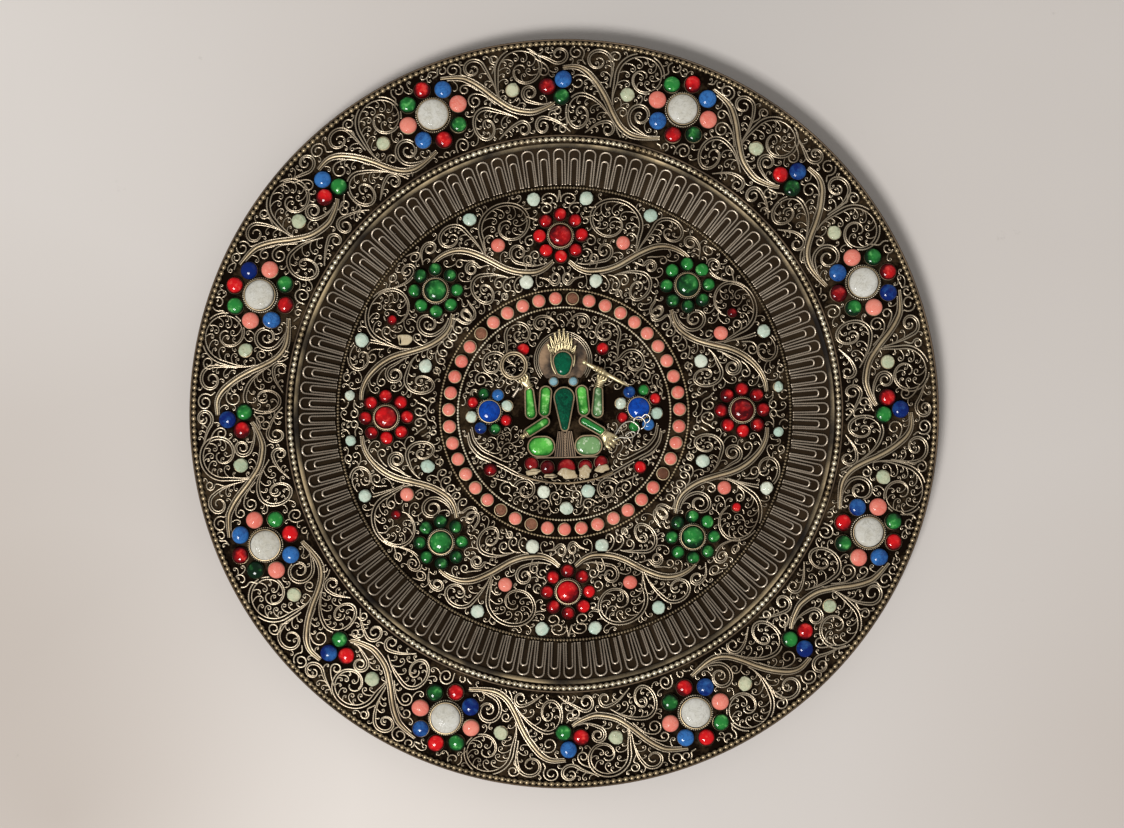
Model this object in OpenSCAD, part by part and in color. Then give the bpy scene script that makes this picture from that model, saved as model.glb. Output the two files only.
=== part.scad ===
// Round ritual offering plate: a spun metal dish with a flat rim, a sloping well
// and a flat floor, covered with soldered wire scrolls and set with cabochon stones.
// A seated four-armed figure made of flat green stones fills the central medallion.
// Units are millimetres. The underside rests on z = 0, +Y points to the figure's head.

/* [Dish] */
// radius of the flat floor inside the well
floor_r = 93; // [92:0.5:100]
// how far the sloping wall runs outward between floor and rim
well_run = 15.5; // [14:0.5:20]
// depth of the well below the rim
well_depth = 13; // [9:0.5:18]
// width of the flat rim
rim_w = 41.5; // [41:0.5:50]
// thickness of the spun sheet
sheet_t = 1.2; // [0.8:0.1:2]

/* [Border wires] */
// thickness of the upright band around the outside edge
edge_band_t = 0.8; // [0.5:0.1:1.2]
// how far the edge band stands above the rim
edge_band_up = 0.9; // [0.4:0.1:1.6]
// diameter of the outer beaded wire
outer_bead_d = 1.9; // [1.2:0.1:2.4]
// diameter of the inner beaded wire at the edge of the well
inner_bead_d = 2; // [1.2:0.1:2.4]
// distance from the edge of the well to the inner beaded wire
inner_bead_set = 0.3; // [0.2:0.1:1]
// diameter of the plain wire beside the inner beaded wire
plain_wire_d = 0.9; // [0.6:0.1:1.2]
// width of the flat collar at the top of the sloping wall
collar_w = 1.9; // [1:0.1:2.4]
// thickness of the flat collar
collar_t = 0.5; // [0.3:0.1:0.8]
// diameter of the fine beaded wire at the edge of the floor
floor_bead_d = 1.4; // [1:0.1:1.8]
// clear space left between neighbouring wires
wire_gap = 0.12; // [0.05:0.01:0.2]

/* [Hairpins on the wall] */
// number of hairpin pairs around the wall
hairpin_count = 104; // [80:1:106]
// diameter of the hairpin wire
hairpin_wire_d = 0.84; // [0.6:0.02:0.9]
// distance between the legs of an outer hairpin
hairpin_w = 4.5; // [4.3:0.05:4.6]
// how much lower the inner hairpin ends on the wall
hairpin_step = 4.4; // [3:0.1:6]
// start of the hairpin legs above the foot of the wall
hairpin_foot = 1; // [0.6:0.1:2]

/* [Rim ornaments] */
// distance from the edge of the well to the ring of rim ornaments
rim_line = 22; // [21.6:0.1:24]
// radius of the white stone in a rim rosette
rim_white_r = 6; // [5:0.1:6.2]
// height of the white stone
rim_white_h = 4.4; // [3.4:0.1:5]
// wall of the white stone's setting
rim_white_wall = 0.9; // [0.6:0.1:1]
// radius of the petal stones of a rim rosette
rim_petal_r = 3.1; // [2.4:0.1:3.2]
// height of the petal stones
rim_petal_h = 2.7; // [2.4:0.1:3.4]
// radius of the stones of a rim triple cluster
cluster_r = 2.9; // [2.2:0.1:3]
// height of the cluster stones
cluster_h = 2.7; // [2.4:0.1:3.4]
// radius of the single pale stones on the rim
rim_pale_r = 2.5; // [1.8:0.1:2.6]
// height of the single pale stones on the rim
rim_pale_h = 2.6; // [2.4:0.1:3.4]

/* [Floor ornaments] */
// radius of the ring of floor rosettes
floor_line_r = 72.5; // [72:0.1:73.5]
// radius of the middle stone of a floor rosette
floor_centre_r = 4.4; // [3.6:0.1:4.5]
// height of the middle stone of a floor rosette
floor_centre_h = 3.8; // [3:0.1:4.6]
// wall of the setting of a floor rosette's middle stone
floor_centre_wall = 0.9; // [0.6:0.1:1]
// radius of the petal stones of a floor rosette
floor_petal_r = 2.4; // [1.9:0.1:2.5]
// height of the petal stones of a floor rosette
floor_petal_h = 2.5; // [2.4:0.1:3.2]
// radius of the pale stones on the floor
floor_pale_r = 2.2; // [1.6:0.1:2.3]
// height of the pale stones on the floor
floor_pale_h = 2.6; // [2.4:0.1:3.2]
// radius of the coral stones on the floor
floor_coral_r = 2.5; // [1.8:0.1:2.6]
// height of the coral stones on the floor
floor_coral_h = 2.8; // [2.4:0.1:3.4]
// radius of the small red stones on the floor
floor_dot_r = 1.7; // [1.2:0.1:1.8]
// height of the small red stones on the floor
floor_dot_h = 2.5; // [2.4:0.1:3]

/* [Settings] */
// wall of the small settings
bezel_wall = 0.4; // [0.3:0.05:0.45]
// height of the small settings
bezel_h = 1.7; // [1.2:0.1:2]
// height of the settings of the middle stones of the rosettes
centre_bezel_h = 2.4; // [1.8:0.1:2.8]
// clearance between a stone and its setting
stone_gap = 0.08; // [0.04:0.01:0.12]
// space between neighbouring settings of one rosette or cluster
setting_gap = 0.3; // [0.2:0.05:0.4]

/* [Wire scrolls] */
// diameter of the heavy stems
stem_d = 1.9; // [1.2:0.1:2.1]
// diameter of the scroll wire
scroll_d = 0.95; // [0.6:0.05:1]
// how much each half turn of a scroll is smaller than the last
scroll_shrink = 0.68; // [0.64:0.01:0.7]

/* [Coral ring] */
// radius of the ring of coral stones around the medallion
coral_ring_r = 47; // [46.6:0.1:47.4]
// number of settings in the coral ring
coral_count = 43; // [36:1:43]
// turn of the first setting of the coral ring
coral_turn = -3.1; // [-8:0.1:8]
// radius of the ring's coral stones
coral_r = 2.4; // [1.8:0.1:2.5]
// height of the ring's coral stones
coral_h = 2.8; // [2.4:0.1:3.4]
// height of the bare setting wax where a stone is lost
wax_h = 0.9; // [0.5:0.1:1.2]
// diameter of the two beaded wires that frame the coral ring
ring_bead_d = 1.3; // [1:0.1:1.5]

/* [Medallion] */
// distance of the two blue rosettes from the middle
side_x = 30.4; // [30.2:0.1:30.6]
// how far the two blue rosettes lie above the middle line
side_y = 1.6; // [1:0.1:1.8]
// turn of the petals of the two blue rosettes
side_turn = 16; // [10:1:20]
// radius of the blue middle stone of a side rosette
side_centre_r = 4.3; // [3.4:0.1:4.4]
// height of the blue middle stone
side_centre_h = 3.6; // [3:0.1:4.4]
// radius of the petals of a side rosette
side_petal_r = 2.1; // [1.6:0.1:2.2]
// height of the petals of a side rosette
side_petal_h = 2.5; // [2.4:0.1:3.2]
// radius of the single stones in the medallion
medal_stone_r = 2.3; // [1.6:0.1:2.4]
// height of the single stones in the medallion
medal_stone_h = 2.7; // [2.4:0.1:3.2]

/* [Figure] */
// height of the walls around the figure's stones
cloison_h = 3.4; // [2.6:0.1:4.4]
// thickness of the walls around the figure's stones
cloison_t = 0.5; // [0.3:0.05:0.55]
// how far the figure's stones stand above their walls
stone_up = 0.7; // [0.3:0.1:1.2]
// thickness of the round plate behind the head
halo_t = 1; // [0.6:0.1:1.4]
// radius of the round plate behind the head
halo_r = 12; // [11:0.1:12.2]
// thickness of the hands
hand_h = 4; // [3.6:0.1:4.6]
// thickness of the pleated robe plate
robe_t = 1.6; // [1:0.1:2.2]
// diameter of the robe pleats
pleat_d = 1.1; // [0.7:0.1:1.2]
// diameter of the rod held across the shoulder
rod_d = 1.7; // [1.2:0.1:2]
// length of the rod held across the shoulder
rod_len = 23.8; // [22.6:0.1:24.4]
// radius of the bead ring in the raised hand
mala_r = 4.9; // [4.4:0.1:5.2]
// diameter of the bead ring's wire
mala_d = 1.5; // [1:0.1:1.7]
// diameter of the loose looped wire
loop_d = 1.1; // [0.8:0.1:1.3]
// length of the middle spike of the crown
crown_len = 8.6; // [7:0.1:9.4]
// height of the boat-shaped strip under the seat
seat_h = 3; // [2:0.1:3.6]

/* [Hidden] */
$fn = 64;

silver = [0.66, 0.61, 0.54];
dark_silver = [0.36, 0.31, 0.27];
pale_gold = [0.76, 0.7, 0.52];
red_glass = [0.72, 0.08, 0.1];
coral_red = [0.9, 0.5, 0.42];
blue_stone = [0.14, 0.3, 0.62];
green_stone = [0.12, 0.42, 0.16];
deep_green = [0.02, 0.3, 0.2];
pale_stone = [0.74, 0.84, 0.76];
white_stone = [0.85, 0.83, 0.79];
wax_brown = [0.36, 0.22, 0.12];

// levels and radii of the dish
shoulder_r = floor_r + well_run;
plate_r = shoulder_r + rim_w;
dish_r = plate_r - edge_band_t;
slope = atan(well_depth / well_run);
slope_len = sqrt(well_depth * well_depth + well_run * well_run);
bend_set = sheet_t * tan(slope / 2);
floor_z = sheet_t;
rim_z = well_depth + sheet_t;
rim_line_r = shoulder_r + rim_line;
hairpin_pitch = 360 / hairpin_count;
hairpin_top = slope_len - collar_w - 2 * wire_gap;
hairpin_seat = hairpin_w * hairpin_w / (8 * floor_r);
inner_hairpin_w = hairpin_w - 2 * hairpin_wire_d - 2 * wire_gap;
coral_pitch = 360 / coral_count;
inner_bead_r = shoulder_r + inner_bead_set + inner_bead_d / 2;
plain_wire_r = inner_bead_r + (inner_bead_d + plain_wire_d) / 2 + wire_gap;

// outside radius of a setting for a stone of radius r with a wall t
function setting_r(r, t) = r + stone_gap + t;
function small_setting_r(r) = setting_r(r, bezel_wall);

rim_petal_ring = setting_r(rim_white_r, rim_white_wall) + setting_gap + small_setting_r(rim_petal_r);
floor_petal_ring = setting_r(floor_centre_r, floor_centre_wall) + setting_gap
    + small_setting_r(floor_petal_r);
side_petal_ring = small_setting_r(side_centre_r) + setting_gap + small_setting_r(side_petal_r);
cluster_ring = (2 * small_setting_r(cluster_r) + setting_gap) / sqrt(3);
cluster_red_turn = 172;
cluster_blue_turn = 52;
cluster_green_turn = -68;
// turn of each whole cluster, clockwise from the head side
cluster_turns = [0, 33, 24, 20, 23, 13, 30, 28];

// clockwise places of the single pale stones after each rosette and each cluster
pale_after_rosette = 14.6;
pale_after_cluster = 12.4;
pale_out_rosette = 0.5;
pale_out_cluster = -0.5;

// places on one quarter of the floor: clockwise turn from the head side, radius
floor_pale_places = [[7, 88], [24.8, 87.8], [14.6, 55.6], [68.8, 87.8], [70, 59.6]];
floor_coral_places = [[20.2, 73.6], [64, 71.8]];
floor_dot_places = [[60.2, 79.8]];
floor_pale_dot_places = [[84, 87.6]];

// single stones of the medallion: across, up
medal_red_places = [[16.2, 26.2], [-16.4, 26.4], [30.4, -22.4], [-30.4, -22.4]];
medal_pale_places = [[9, -31.6], [-9, -31.6], [0, -38.4]];

// settings of the coral ring that have lost their stone
lost_corals = [1, 15, 24, 26, 38];

// S-shaped stems of the rim: turn after the ornament, distance out, heading,
// first radius, first sweep, second radius, second sweep
stem_after_cluster = [10.2, -2.6, -54, 23.5, 46, 31, 46];
stem_after_rosette = [11.4, 1.6, -53, 24, 36, 25, 50];
floor_stem = [22.6, -2.4, 50, 30, 44, 20, 48];

// scrolls of the rim: turn after the ornament, distance out, size, start, hand, half turns
scrolls_after_cluster = [
    [14.2, 8.2, 6.2, 200, -1, 4], [4.2, -9.6, 5, 60, 1, 4], [6.3, 10.8, 4.2, 330, 1, 4],
    [8.6, -15.2, 2.9, 180, -1, 3], [-1.4, 14.2, 2.7, 30, -1, 3], [-0.6, -13.2, 3.2, 90, 1, 3],
    [15.6, -7.4, 2.6, 160, -1, 3], [5.6, 0.8, 2.6, 110, 1, 3], [13.2, -15.2, 2.1, 30, 1, 3],
    [18.6, 14, 1.8, 200, 1, 3]
];
scrolls_after_rosette = [
    [16.2, 8.4, 5.8, 200, -1, 4], [8.1, -9.6, 4.8, 60, 1, 4], [9.4, 12, 3.7, 330, 1, 3],
    [13.4, -14.2, 2.9, 180, -1, 3], [4.4, -14.8, 2.6, 90, 1, 3], [17.5, -3, 2.1, 160, -1, 3],
    [8.9, 2.2, 2.1, 110, 1, 3], [17.2, -14.4, 2.4, 30, 1, 3], [13.4, 13.7, 1.9, 60, -1, 3]
];
// scrolls of one quarter of the floor: clockwise turn, radius, size, start, hand, half turns
floor_scroll_plan = [
    [15.6, 81.2, 5, 340, 1, 4], [12.4, 68, 3.2, 220, 1, 4], [33.2, 60.2, 4.6, 150, -1, 4],
    [30.4, 85.4, 3.6, 190, -1, 4], [30, 72.4, 2.6, 200, -1, 3], [20.6, 58.2, 2.6, 0, 1, 3],
    [5.4, 56.4, 3, 200, -1, 3], [41.2, 55.8, 2.4, 40, 1, 3], [36.8, 88, 2, 0, -1, 3],
    [60.6, 85.6, 3.4, 340, 1, 4], [56.6, 69, 2.6, 220, 1, 4], [77.6, 60.8, 4.4, 150, -1, 4],
    [75.2, 85.6, 3.8, 190, -1, 4], [75.2, 72, 2.4, 200, -1, 3], [60.8, 58.2, 3, 20, 1, 4],
    [52.6, 56.2, 2.6, 200, -1, 3], [85.6, 56.4, 2.6, 40, 1, 3], [2.9, 88.4, 1.8, 0, 1, 3]
];
// scrolls of the medallion's right half: across, up, size, start, hand, half turns
medal_scroll_plan = [
    [22.6, 19.6, 2.4, 200, -1, 3], [29.6, 19.4, 3.4, 20, 1, 3], [21.8, 30.6, 2.9, 60, -1, 3],
    [13.4, 36.6, 3.2, 120, 1, 3], [5.6, 38.6, 2.2, 40, -1, 3], [36.4, 15.2, 2, 90, -1, 3],
    [19.6, -32.4, 3.8, 40, -1, 3], [36.2, -14.6, 2.6, 330, 1, 3], [24.4, -26.4, 2, 200, 1, 3],
    [20, 9.6, 2, 120, 1, 3]
];

// the figure, across and up from the middle; arms are given for the right side
halo_y = 21.8;
halo_cut_y = 16.3;
head = [[0, 21.9], [0, 17.6], 3.4, 2.1];
torso = [[0, 6.9], [0, -5.6], 3.6, 1.2];
upper_arm = [[7.3, 9], [8, 1.3], 2, 1.9];
fore_arm = [[14, 9.2], [13.5, 0.4], 1.4, 1.9];
lower_arm = [[8, -3.6], [15, -7.5], 1.35, 1.25];
knee = [[9.2, -13], [11.2, -13], 3.5, 3.5];
shoulder = [4, 13.2];
shoulder_stone_r = 1.8;
shoulder_stone_h = 3;
raised_left_hand = [[-14.7, 13], [-16.2, 15.5], 1.3, 1];
raised_right_hand = [[14.7, 13], [15.7, 15.8], 1.3, 1.1];
low_right_hand = [[18, -10], [19.6, -11.6], 1.8, 1.3];
low_left_hand = [[-18, -10], [-19.2, -10.8], 1.5, 1];
finger_r = 0.62;
mala_at = [-19.8, 19.4];
inner_mala_r = mala_r - mala_d - wire_gap;
rod_at = [5.8, 22.1];
rod_turn = -29;
loop_at = [25.8, -6.4];
loop_r = 3.6;
small_loop_r = 1.7;
loop_turn = 300;
small_loop_turn = 34;
crown_fan = 14;
crown_gap = 0.5;
crown_step = 1.1;
crown_root_r = 0.5;
crown_tip_r = 0.2;
robe_top_y = -8.2;
robe_bottom_y = -17.6;
robe_top_w = 3.1;
robe_bottom_w = 4.3;
pleat_count = 5;
seat_places = [[-14.2, -20.2, 2.8], [-7.8, -21.6, 2.8], [0, -22, 3.5], [7.8, -21.6, 2.8], [14.2, -20.2, 2.8]];
seat_stone_h = 3.4;
seat_tip_t = 0.9;
seat_tip_turn = 76;
seat_arc_r = 48.7;
seat_arc_y = 20.4;
seat_arc_turn = 47;
seat_strip_t = 1.5;

// moves a shape that lies on the plate to a clockwise turn and a radius;
// there +X points clockwise and +Y points outward
module on_clock(turn, r, z) {
    rotate([0, 0, -turn]) translate([0, r, z]) children();
}

// copies a flat wire shape into the four quarters of the floor
module in_quarters() {
    for (flip_x = [0, 180], flip_y = [0, 180])
        rotate([flip_y, flip_x, 0]) children();
}

// a round stone with a flat foot and a domed top
module cabochon(r, h) {
    girdle = h * 0.5;
    crown = h - girdle;
    ball = (r * r + crown * crown) / (2 * crown);
    intersection() {
        cylinder(r = r, h = h);
        translate([0, 0, h - ball]) sphere(r = ball);
    }
}

// a plain round setting wall
module bezel(r, wall, h) {
    difference() {
        cylinder(r = setting_r(r, wall), h = h);
        translate([0, 0, -1]) cylinder(r = r + stone_gap, h = h + 2);
    }
}

// a heavier setting with a raised foot ring
module stepped_bezel(r, wall, h) {
    rotate_extrude() translate([r + stone_gap, 0])
        polygon([[0, 0], [wall, 0], [wall, h * 0.45], [wall * 0.5, h * 0.45], [wall * 0.5, h], [0, h]]);
}

// a half turn of round wire
module half_turn(r, d) {
    rotate_extrude(angle = 180) translate([r, 0]) circle(d = d, $fn = 24);
}

// radius of a half turn, place where it starts, and its centre, on the scroll's own X axis
function half_r(size, k) = round(size * pow(scroll_shrink, k) * 100) / 100;
function side_of(k) = k % 2 == 0 ? 1 : -1;
function half_start(size, k) = k == 0 ? half_r(size, 0)
    : half_start(size, k - 1) - 2 * side_of(k - 1) * half_r(size, k - 1);
function half_mid(size, k) = half_start(size, k) - side_of(k) * half_r(size, k);

// a scroll made of half turns that grow smaller; hand -1 curls the other way
module scroll(size, start, hand, halves) {
    rotate([hand < 0 ? 180 : 0, 0, start])
        for (k = [0 : halves - 1])
            translate([half_mid(size, k), 0, 0]) rotate([0, 0, k % 2 == 0 ? 0 : 180])
                half_turn(half_r(size, k), scroll_d);
}

// an S-shaped stem: two arcs that meet at the middle with one heading
module stem(plan) {
    rotate([0, 0, plan[2] - 90]) {
        translate([plan[3], 0, 0]) rotate([0, 0, 180]) stem_arc(plan[3], plan[4]);
        translate([-plan[5], 0, 0]) stem_arc(plan[5], plan[6]);
    }
}

module stem_arc(r, sweep) {
    rotate_extrude(angle = sweep) translate([r, 0]) circle(d = stem_d, $fn = 32);
}

// outline of a stone with two round ends, grown by a margin
function end_arc(centre, r, from, to, n) =
    [for (i = [0 : n]) centre + r * [cos(from + (to - from) * i / n), sin(from + (to - from) * i / n)]];
function capsule(shape, grow) =
    let (way = shape[1] - shape[0],
         heading = atan2(way[1], way[0]),
         lean = asin((shape[2] - shape[3]) / norm(way)))
    concat(end_arc(shape[0], shape[2] + grow, heading + 90 - lean, heading + 270 + lean, 10),
           end_arc(shape[1], shape[3] + grow, heading - 90 + lean, heading + 90 - lean, 8));
function mirror_shape(shape) =
    [[-shape[0][0], shape[0][1]], [-shape[1][0], shape[1][1]], shape[2], shape[3]];

module flat_stone(shape, z, h) {
    translate([0, 0, z]) linear_extrude(h) polygon(capsule(shape, 0));
}

module cloison(shape, z, h) {
    outer = capsule(shape, stone_gap + cloison_t);
    inner = capsule(shape, stone_gap);
    translate([0, 0, z]) linear_extrude(h) polygon(
        concat(outer, inner),
        [[for (i = [0 : len(outer) - 1]) i], [for (i = [0 : len(inner) - 1]) len(outer) + i]]);
}

// sheet and border

module base_dish() {
    color(dark_silver) rotate_extrude($fn = 160) polygon([
        [0, 0], [floor_r + bend_set, 0], [shoulder_r + bend_set, well_depth],
        [dish_r, well_depth], [dish_r, rim_z], [shoulder_r, rim_z], [floor_r, floor_z], [0, floor_z]
    ]);
}

module rim_edge_band() {
    color(silver) rotate_extrude($fn = 160) translate([dish_r, well_depth])
        square([edge_band_t, sheet_t + edge_band_up]);
}

module ring_wire(r, d, z) {
    rotate_extrude($fn = 160) translate([r, z + d / 2]) circle(d = d, $fn = 24);
}

module rim_outer_beaded_wire() {
    color(silver) ring_wire(dish_r - wire_gap - outer_bead_d / 2, outer_bead_d, rim_z);
}

module rim_inner_beaded_wire() {
    color(silver) ring_wire(inner_bead_r, inner_bead_d, rim_z);
}

module rim_inner_plain_wire() {
    color(silver) ring_wire(plain_wire_r, plain_wire_d, rim_z);
}

module wall_collar() {
    top = slope_len - wire_gap;
    low = top - collar_w;
    color(silver) rotate_extrude($fn = 160) translate([floor_r, floor_z]) rotate(slope)
        polygon([[low, 0], [top, 0], [top, collar_t], [low, collar_t]]);
}

module hairpin(w, top) {
    arch_y = top - (w + hairpin_wire_d) / 2;
    translate([0, 0, hairpin_seat + hairpin_wire_d / 2]) {
        translate([0, arch_y, 0]) half_turn(w / 2, hairpin_wire_d);
        for (side = [-1, 1])
            translate([side * w / 2, hairpin_foot, 0]) rotate([-90, 0, 0])
                cylinder(d = hairpin_wire_d, h = arch_y - hairpin_foot, $fn = 24);
    }
}

module around_wall() {
    for (k = [0 : hairpin_count - 1])
        on_clock(k * hairpin_pitch, floor_r, floor_z) rotate([slope, 0, 0]) children();
}

module wall_outer_hairpins() {
    color(silver) around_wall() hairpin(hairpin_w, hairpin_top);
}

module wall_inner_hairpins() {
    color(silver) around_wall() hairpin(inner_hairpin_w, hairpin_top - hairpin_step);
}

module floor_edge_beaded_wire() {
    color(silver) ring_wire(floor_r - floor_bead_d / 2 - wire_gap, floor_bead_d, floor_z);
}

module coral_ring_outer_wire() {
    color(silver) ring_wire(coral_ring_r + small_setting_r(coral_r) + wire_gap + ring_bead_d / 2,
        ring_bead_d, floor_z);
}

module coral_ring_inner_wire() {
    color(silver) ring_wire(coral_ring_r - small_setting_r(coral_r) - wire_gap - ring_bead_d / 2,
        ring_bead_d, floor_z);
}

// wire scrolls

module rim_stems() {
    color(pale_gold) for (k = [0 : 7]) {
        on_clock(45 * k + stem_after_cluster[0], rim_line_r + stem_after_cluster[1], rim_z + stem_d / 2)
            stem(stem_after_cluster);
        on_clock(45 * k + 22.5 + stem_after_rosette[0], rim_line_r + stem_after_rosette[1],
            rim_z + stem_d / 2) stem(stem_after_rosette);
    }
}

module rim_scrolls() {
    color(silver) for (k = [0 : 7]) {
        for (s = scrolls_after_cluster)
            on_clock(45 * k + s[0], rim_line_r + s[1], rim_z + scroll_d / 2) scroll(s[2], s[3], s[4], s[5]);
        for (s = scrolls_after_rosette)
            on_clock(45 * k + 22.5 + s[0], rim_line_r + s[1], rim_z + scroll_d / 2)
                scroll(s[2], s[3], s[4], s[5]);
    }
}

module floor_stems() {
    color(pale_gold) translate([0, 0, floor_z + stem_d / 2]) in_quarters()
        for (k = [0, 1])
            on_clock(45 * k + floor_stem[0], floor_line_r + floor_stem[1], 0)
                rotate([180, 0, 0]) stem([0, 0, -floor_stem[2], floor_stem[3], floor_stem[4],
                    floor_stem[5], floor_stem[6]]);
}

module floor_scrolls() {
    color(silver) translate([0, 0, floor_z + scroll_d / 2]) in_quarters()
        for (s = floor_scroll_plan) on_clock(s[0], s[1], 0) scroll(s[2], s[3], s[4], s[5]);
}

module medallion_scrolls() {
    color(silver) translate([0, 0, floor_z + scroll_d / 2]) for (flip = [0, 180])
        rotate([0, flip, 0]) for (s = medal_scroll_plan)
            translate([s[0], s[1], 0]) scroll(s[2], s[3], s[4], s[5]);
}

// rim stones and settings

module at_rosettes() {
    for (k = [0 : 7]) on_clock(45 * k + 22.5, rim_line_r, rim_z) children();
}

module at_clusters() {
    for (k = [0 : 7]) on_clock(45 * k, rim_line_r, rim_z) rotate([0, 0, cluster_turns[k]]) children();
}

// petals around a rosette, first petal outward, then clockwise in steps of 45 degrees
module petals(ring, first, step) {
    for (p = [first : step : 7]) rotate([0, 0, -45 * p]) translate([0, ring, 0]) children();
}

module in_cluster(turn) {
    rotate([0, 0, turn]) translate([cluster_ring, 0, 0]) children();
}

module at_rim_pales() {
    for (k = [0 : 7]) {
        on_clock(45 * k + pale_after_cluster, rim_line_r + pale_out_cluster, rim_z) children();
        on_clock(45 * k + 22.5 + pale_after_rosette, rim_line_r + pale_out_rosette, rim_z) children();
    }
}

module rim_rosette_bezels() {
    color(silver) at_rosettes() stepped_bezel(rim_white_r, rim_white_wall, centre_bezel_h);
}

module rim_small_bezels() {
    color(silver) {
        at_rosettes() petals(rim_petal_ring, 0, 1) bezel(rim_petal_r, bezel_wall, bezel_h);
        at_clusters() for (turn = [cluster_red_turn, cluster_blue_turn, cluster_green_turn])
            in_cluster(turn) bezel(cluster_r, bezel_wall, bezel_h);
        at_rim_pales() bezel(rim_pale_r, bezel_wall, bezel_h);
    }
}

module rim_white_stones() {
    color(white_stone) at_rosettes() cabochon(rim_white_r, rim_white_h);
}

module rim_petal_stones(first) {
    at_rosettes() petals(rim_petal_ring, first, 4) cabochon(rim_petal_r, rim_petal_h);
}

module rim_cluster_stones(turn) {
    at_clusters() in_cluster(turn) cabochon(cluster_r, cluster_h);
}

module rim_red_stones() {
    color(red_glass) {
        rim_petal_stones(0);
        rim_cluster_stones(cluster_red_turn);
    }
}

module rim_blue_stones() {
    color(blue_stone) {
        rim_petal_stones(1);
        rim_cluster_stones(cluster_blue_turn);
    }
}

module rim_coral_stones() {
    color(coral_red) rim_petal_stones(2);
}

module rim_green_stones() {
    color(green_stone) {
        rim_petal_stones(3);
        rim_cluster_stones(cluster_green_turn);
    }
}

module rim_pale_stones() {
    color(pale_stone) at_rim_pales() cabochon(rim_pale_r, rim_pale_h);
}

// floor stones and settings

module at_floor_rosettes(first) {
    for (k = [first : 2 : 7]) on_clock(45 * k, floor_line_r, floor_z) children();
}

module at_floor(places) {
    for (across = [-1, 1], up = [0, 1], p = places)
        on_clock(across * (up == 1 ? p[0] : 180 - p[0]), p[1], floor_z) children();
}

module floor_rosette_bezels() {
    color(silver) for (first = [0, 1]) at_floor_rosettes(first)
        stepped_bezel(floor_centre_r, floor_centre_wall, centre_bezel_h);
}

module floor_small_bezels() {
    color(silver) {
        for (first = [0, 1]) at_floor_rosettes(first) petals(floor_petal_ring, 0, 1)
            bezel(floor_petal_r, bezel_wall, bezel_h);
        at_floor(floor_pale_places) bezel(floor_pale_r, bezel_wall, bezel_h);
        at_floor(floor_coral_places) bezel(floor_coral_r, bezel_wall, bezel_h);
        at_floor(concat(floor_dot_places, floor_pale_dot_places)) bezel(floor_dot_r, bezel_wall, bezel_h);
    }
}

module floor_red_centres() {
    color(red_glass) at_floor_rosettes(0) cabochon(floor_centre_r, floor_centre_h);
}

module floor_red_petals() {
    color(red_glass) at_floor_rosettes(0) petals(floor_petal_ring, 0, 1)
        cabochon(floor_petal_r, floor_petal_h);
}

module floor_green_centres() {
    color(green_stone) at_floor_rosettes(1) cabochon(floor_centre_r, floor_centre_h);
}

module floor_green_petals() {
    color(green_stone) at_floor_rosettes(1) petals(floor_petal_ring, 0, 1)
        cabochon(floor_petal_r, floor_petal_h);
}

module floor_pale_stones() {
    color(pale_stone) {
        at_floor(floor_pale_places) cabochon(floor_pale_r, floor_pale_h);
        at_floor(floor_pale_dot_places) cabochon(floor_dot_r, floor_dot_h);
    }
}

module floor_coral_stones() {
    color(coral_red) at_floor(floor_coral_places) cabochon(floor_coral_r, floor_coral_h);
}

module floor_dot_stones() {
    color(red_glass) at_floor(floor_dot_places) cabochon(floor_dot_r, floor_dot_h);
}

// coral ring

function lost(k) = len([for (l = lost_corals) if (l == k) l]) > 0;

module around_coral_ring(want_lost) {
    for (k = [0 : coral_count - 1])
        if (lost(k) == want_lost) on_clock(coral_turn + k * coral_pitch, coral_ring_r, floor_z) children();
}

module coral_ring_bezels() {
    color(silver) for (want = [true, false]) around_coral_ring(want) bezel(coral_r, bezel_wall, bezel_h);
}

module coral_ring_stones() {
    color(coral_red) around_coral_ring(false) cabochon(coral_r, coral_h);
}

module coral_ring_wax() {
    color(wax_brown) around_coral_ring(true) cylinder(r = coral_r, h = wax_h);
}

// medallion stones

module at_sides() {
    for (side = [-1, 1])
        translate([side * side_x, side_y, floor_z]) rotate([0, 0, -side * side_turn]) children();
}

// petals of the two side rosettes; the right one is the left one mirrored
module side_petals(first) {
    for (side = [-1, 1], p = [first, first + 4])
        translate([side * side_x, side_y, floor_z]) rotate([0, 0, -side * (45 * p + side_turn)])
            translate([0, side_petal_ring, 0]) cabochon(side_petal_r, side_petal_h);
}

module at_places(places) {
    for (p = places) translate([p[0], p[1], floor_z]) children();
}

module medallion_bezels() {
    color(silver) {
        at_sides() bezel(side_centre_r, bezel_wall, centre_bezel_h);
        at_sides() petals(side_petal_ring, 0, 1) bezel(side_petal_r, bezel_wall, bezel_h);
        at_places(medal_red_places) bezel(medal_stone_r, bezel_wall, bezel_h);
        at_places(medal_pale_places) bezel(medal_stone_r, bezel_wall, bezel_h);
    }
}

module medallion_blue_centres() {
    color(blue_stone) at_sides() cabochon(side_centre_r, side_centre_h);
}

module medallion_blue_stones() {
    color(blue_stone) side_petals(3);
}

module medallion_green_stones() {
    color(green_stone) side_petals(0);
}

module medallion_red_stones() {
    color(red_glass) {
        side_petals(1);
        at_places(medal_red_places) cabochon(medal_stone_r, medal_stone_h);
    }
}

module medallion_pale_stones() {
    color(pale_stone) {
        side_petals(2);
        at_places(medal_pale_places) cabochon(medal_stone_r, medal_stone_h);
    }
}

// figure

module figure_halo() {
    color(pale_gold) translate([0, halo_y, floor_z]) difference() {
        cylinder(r = halo_r, h = halo_t);
        translate([-2 * halo_r, halo_cut_y - halo_y - 4 * halo_r, -1]) cube([4 * halo_r, 4 * halo_r, halo_t + 2]);
    }
}

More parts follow.
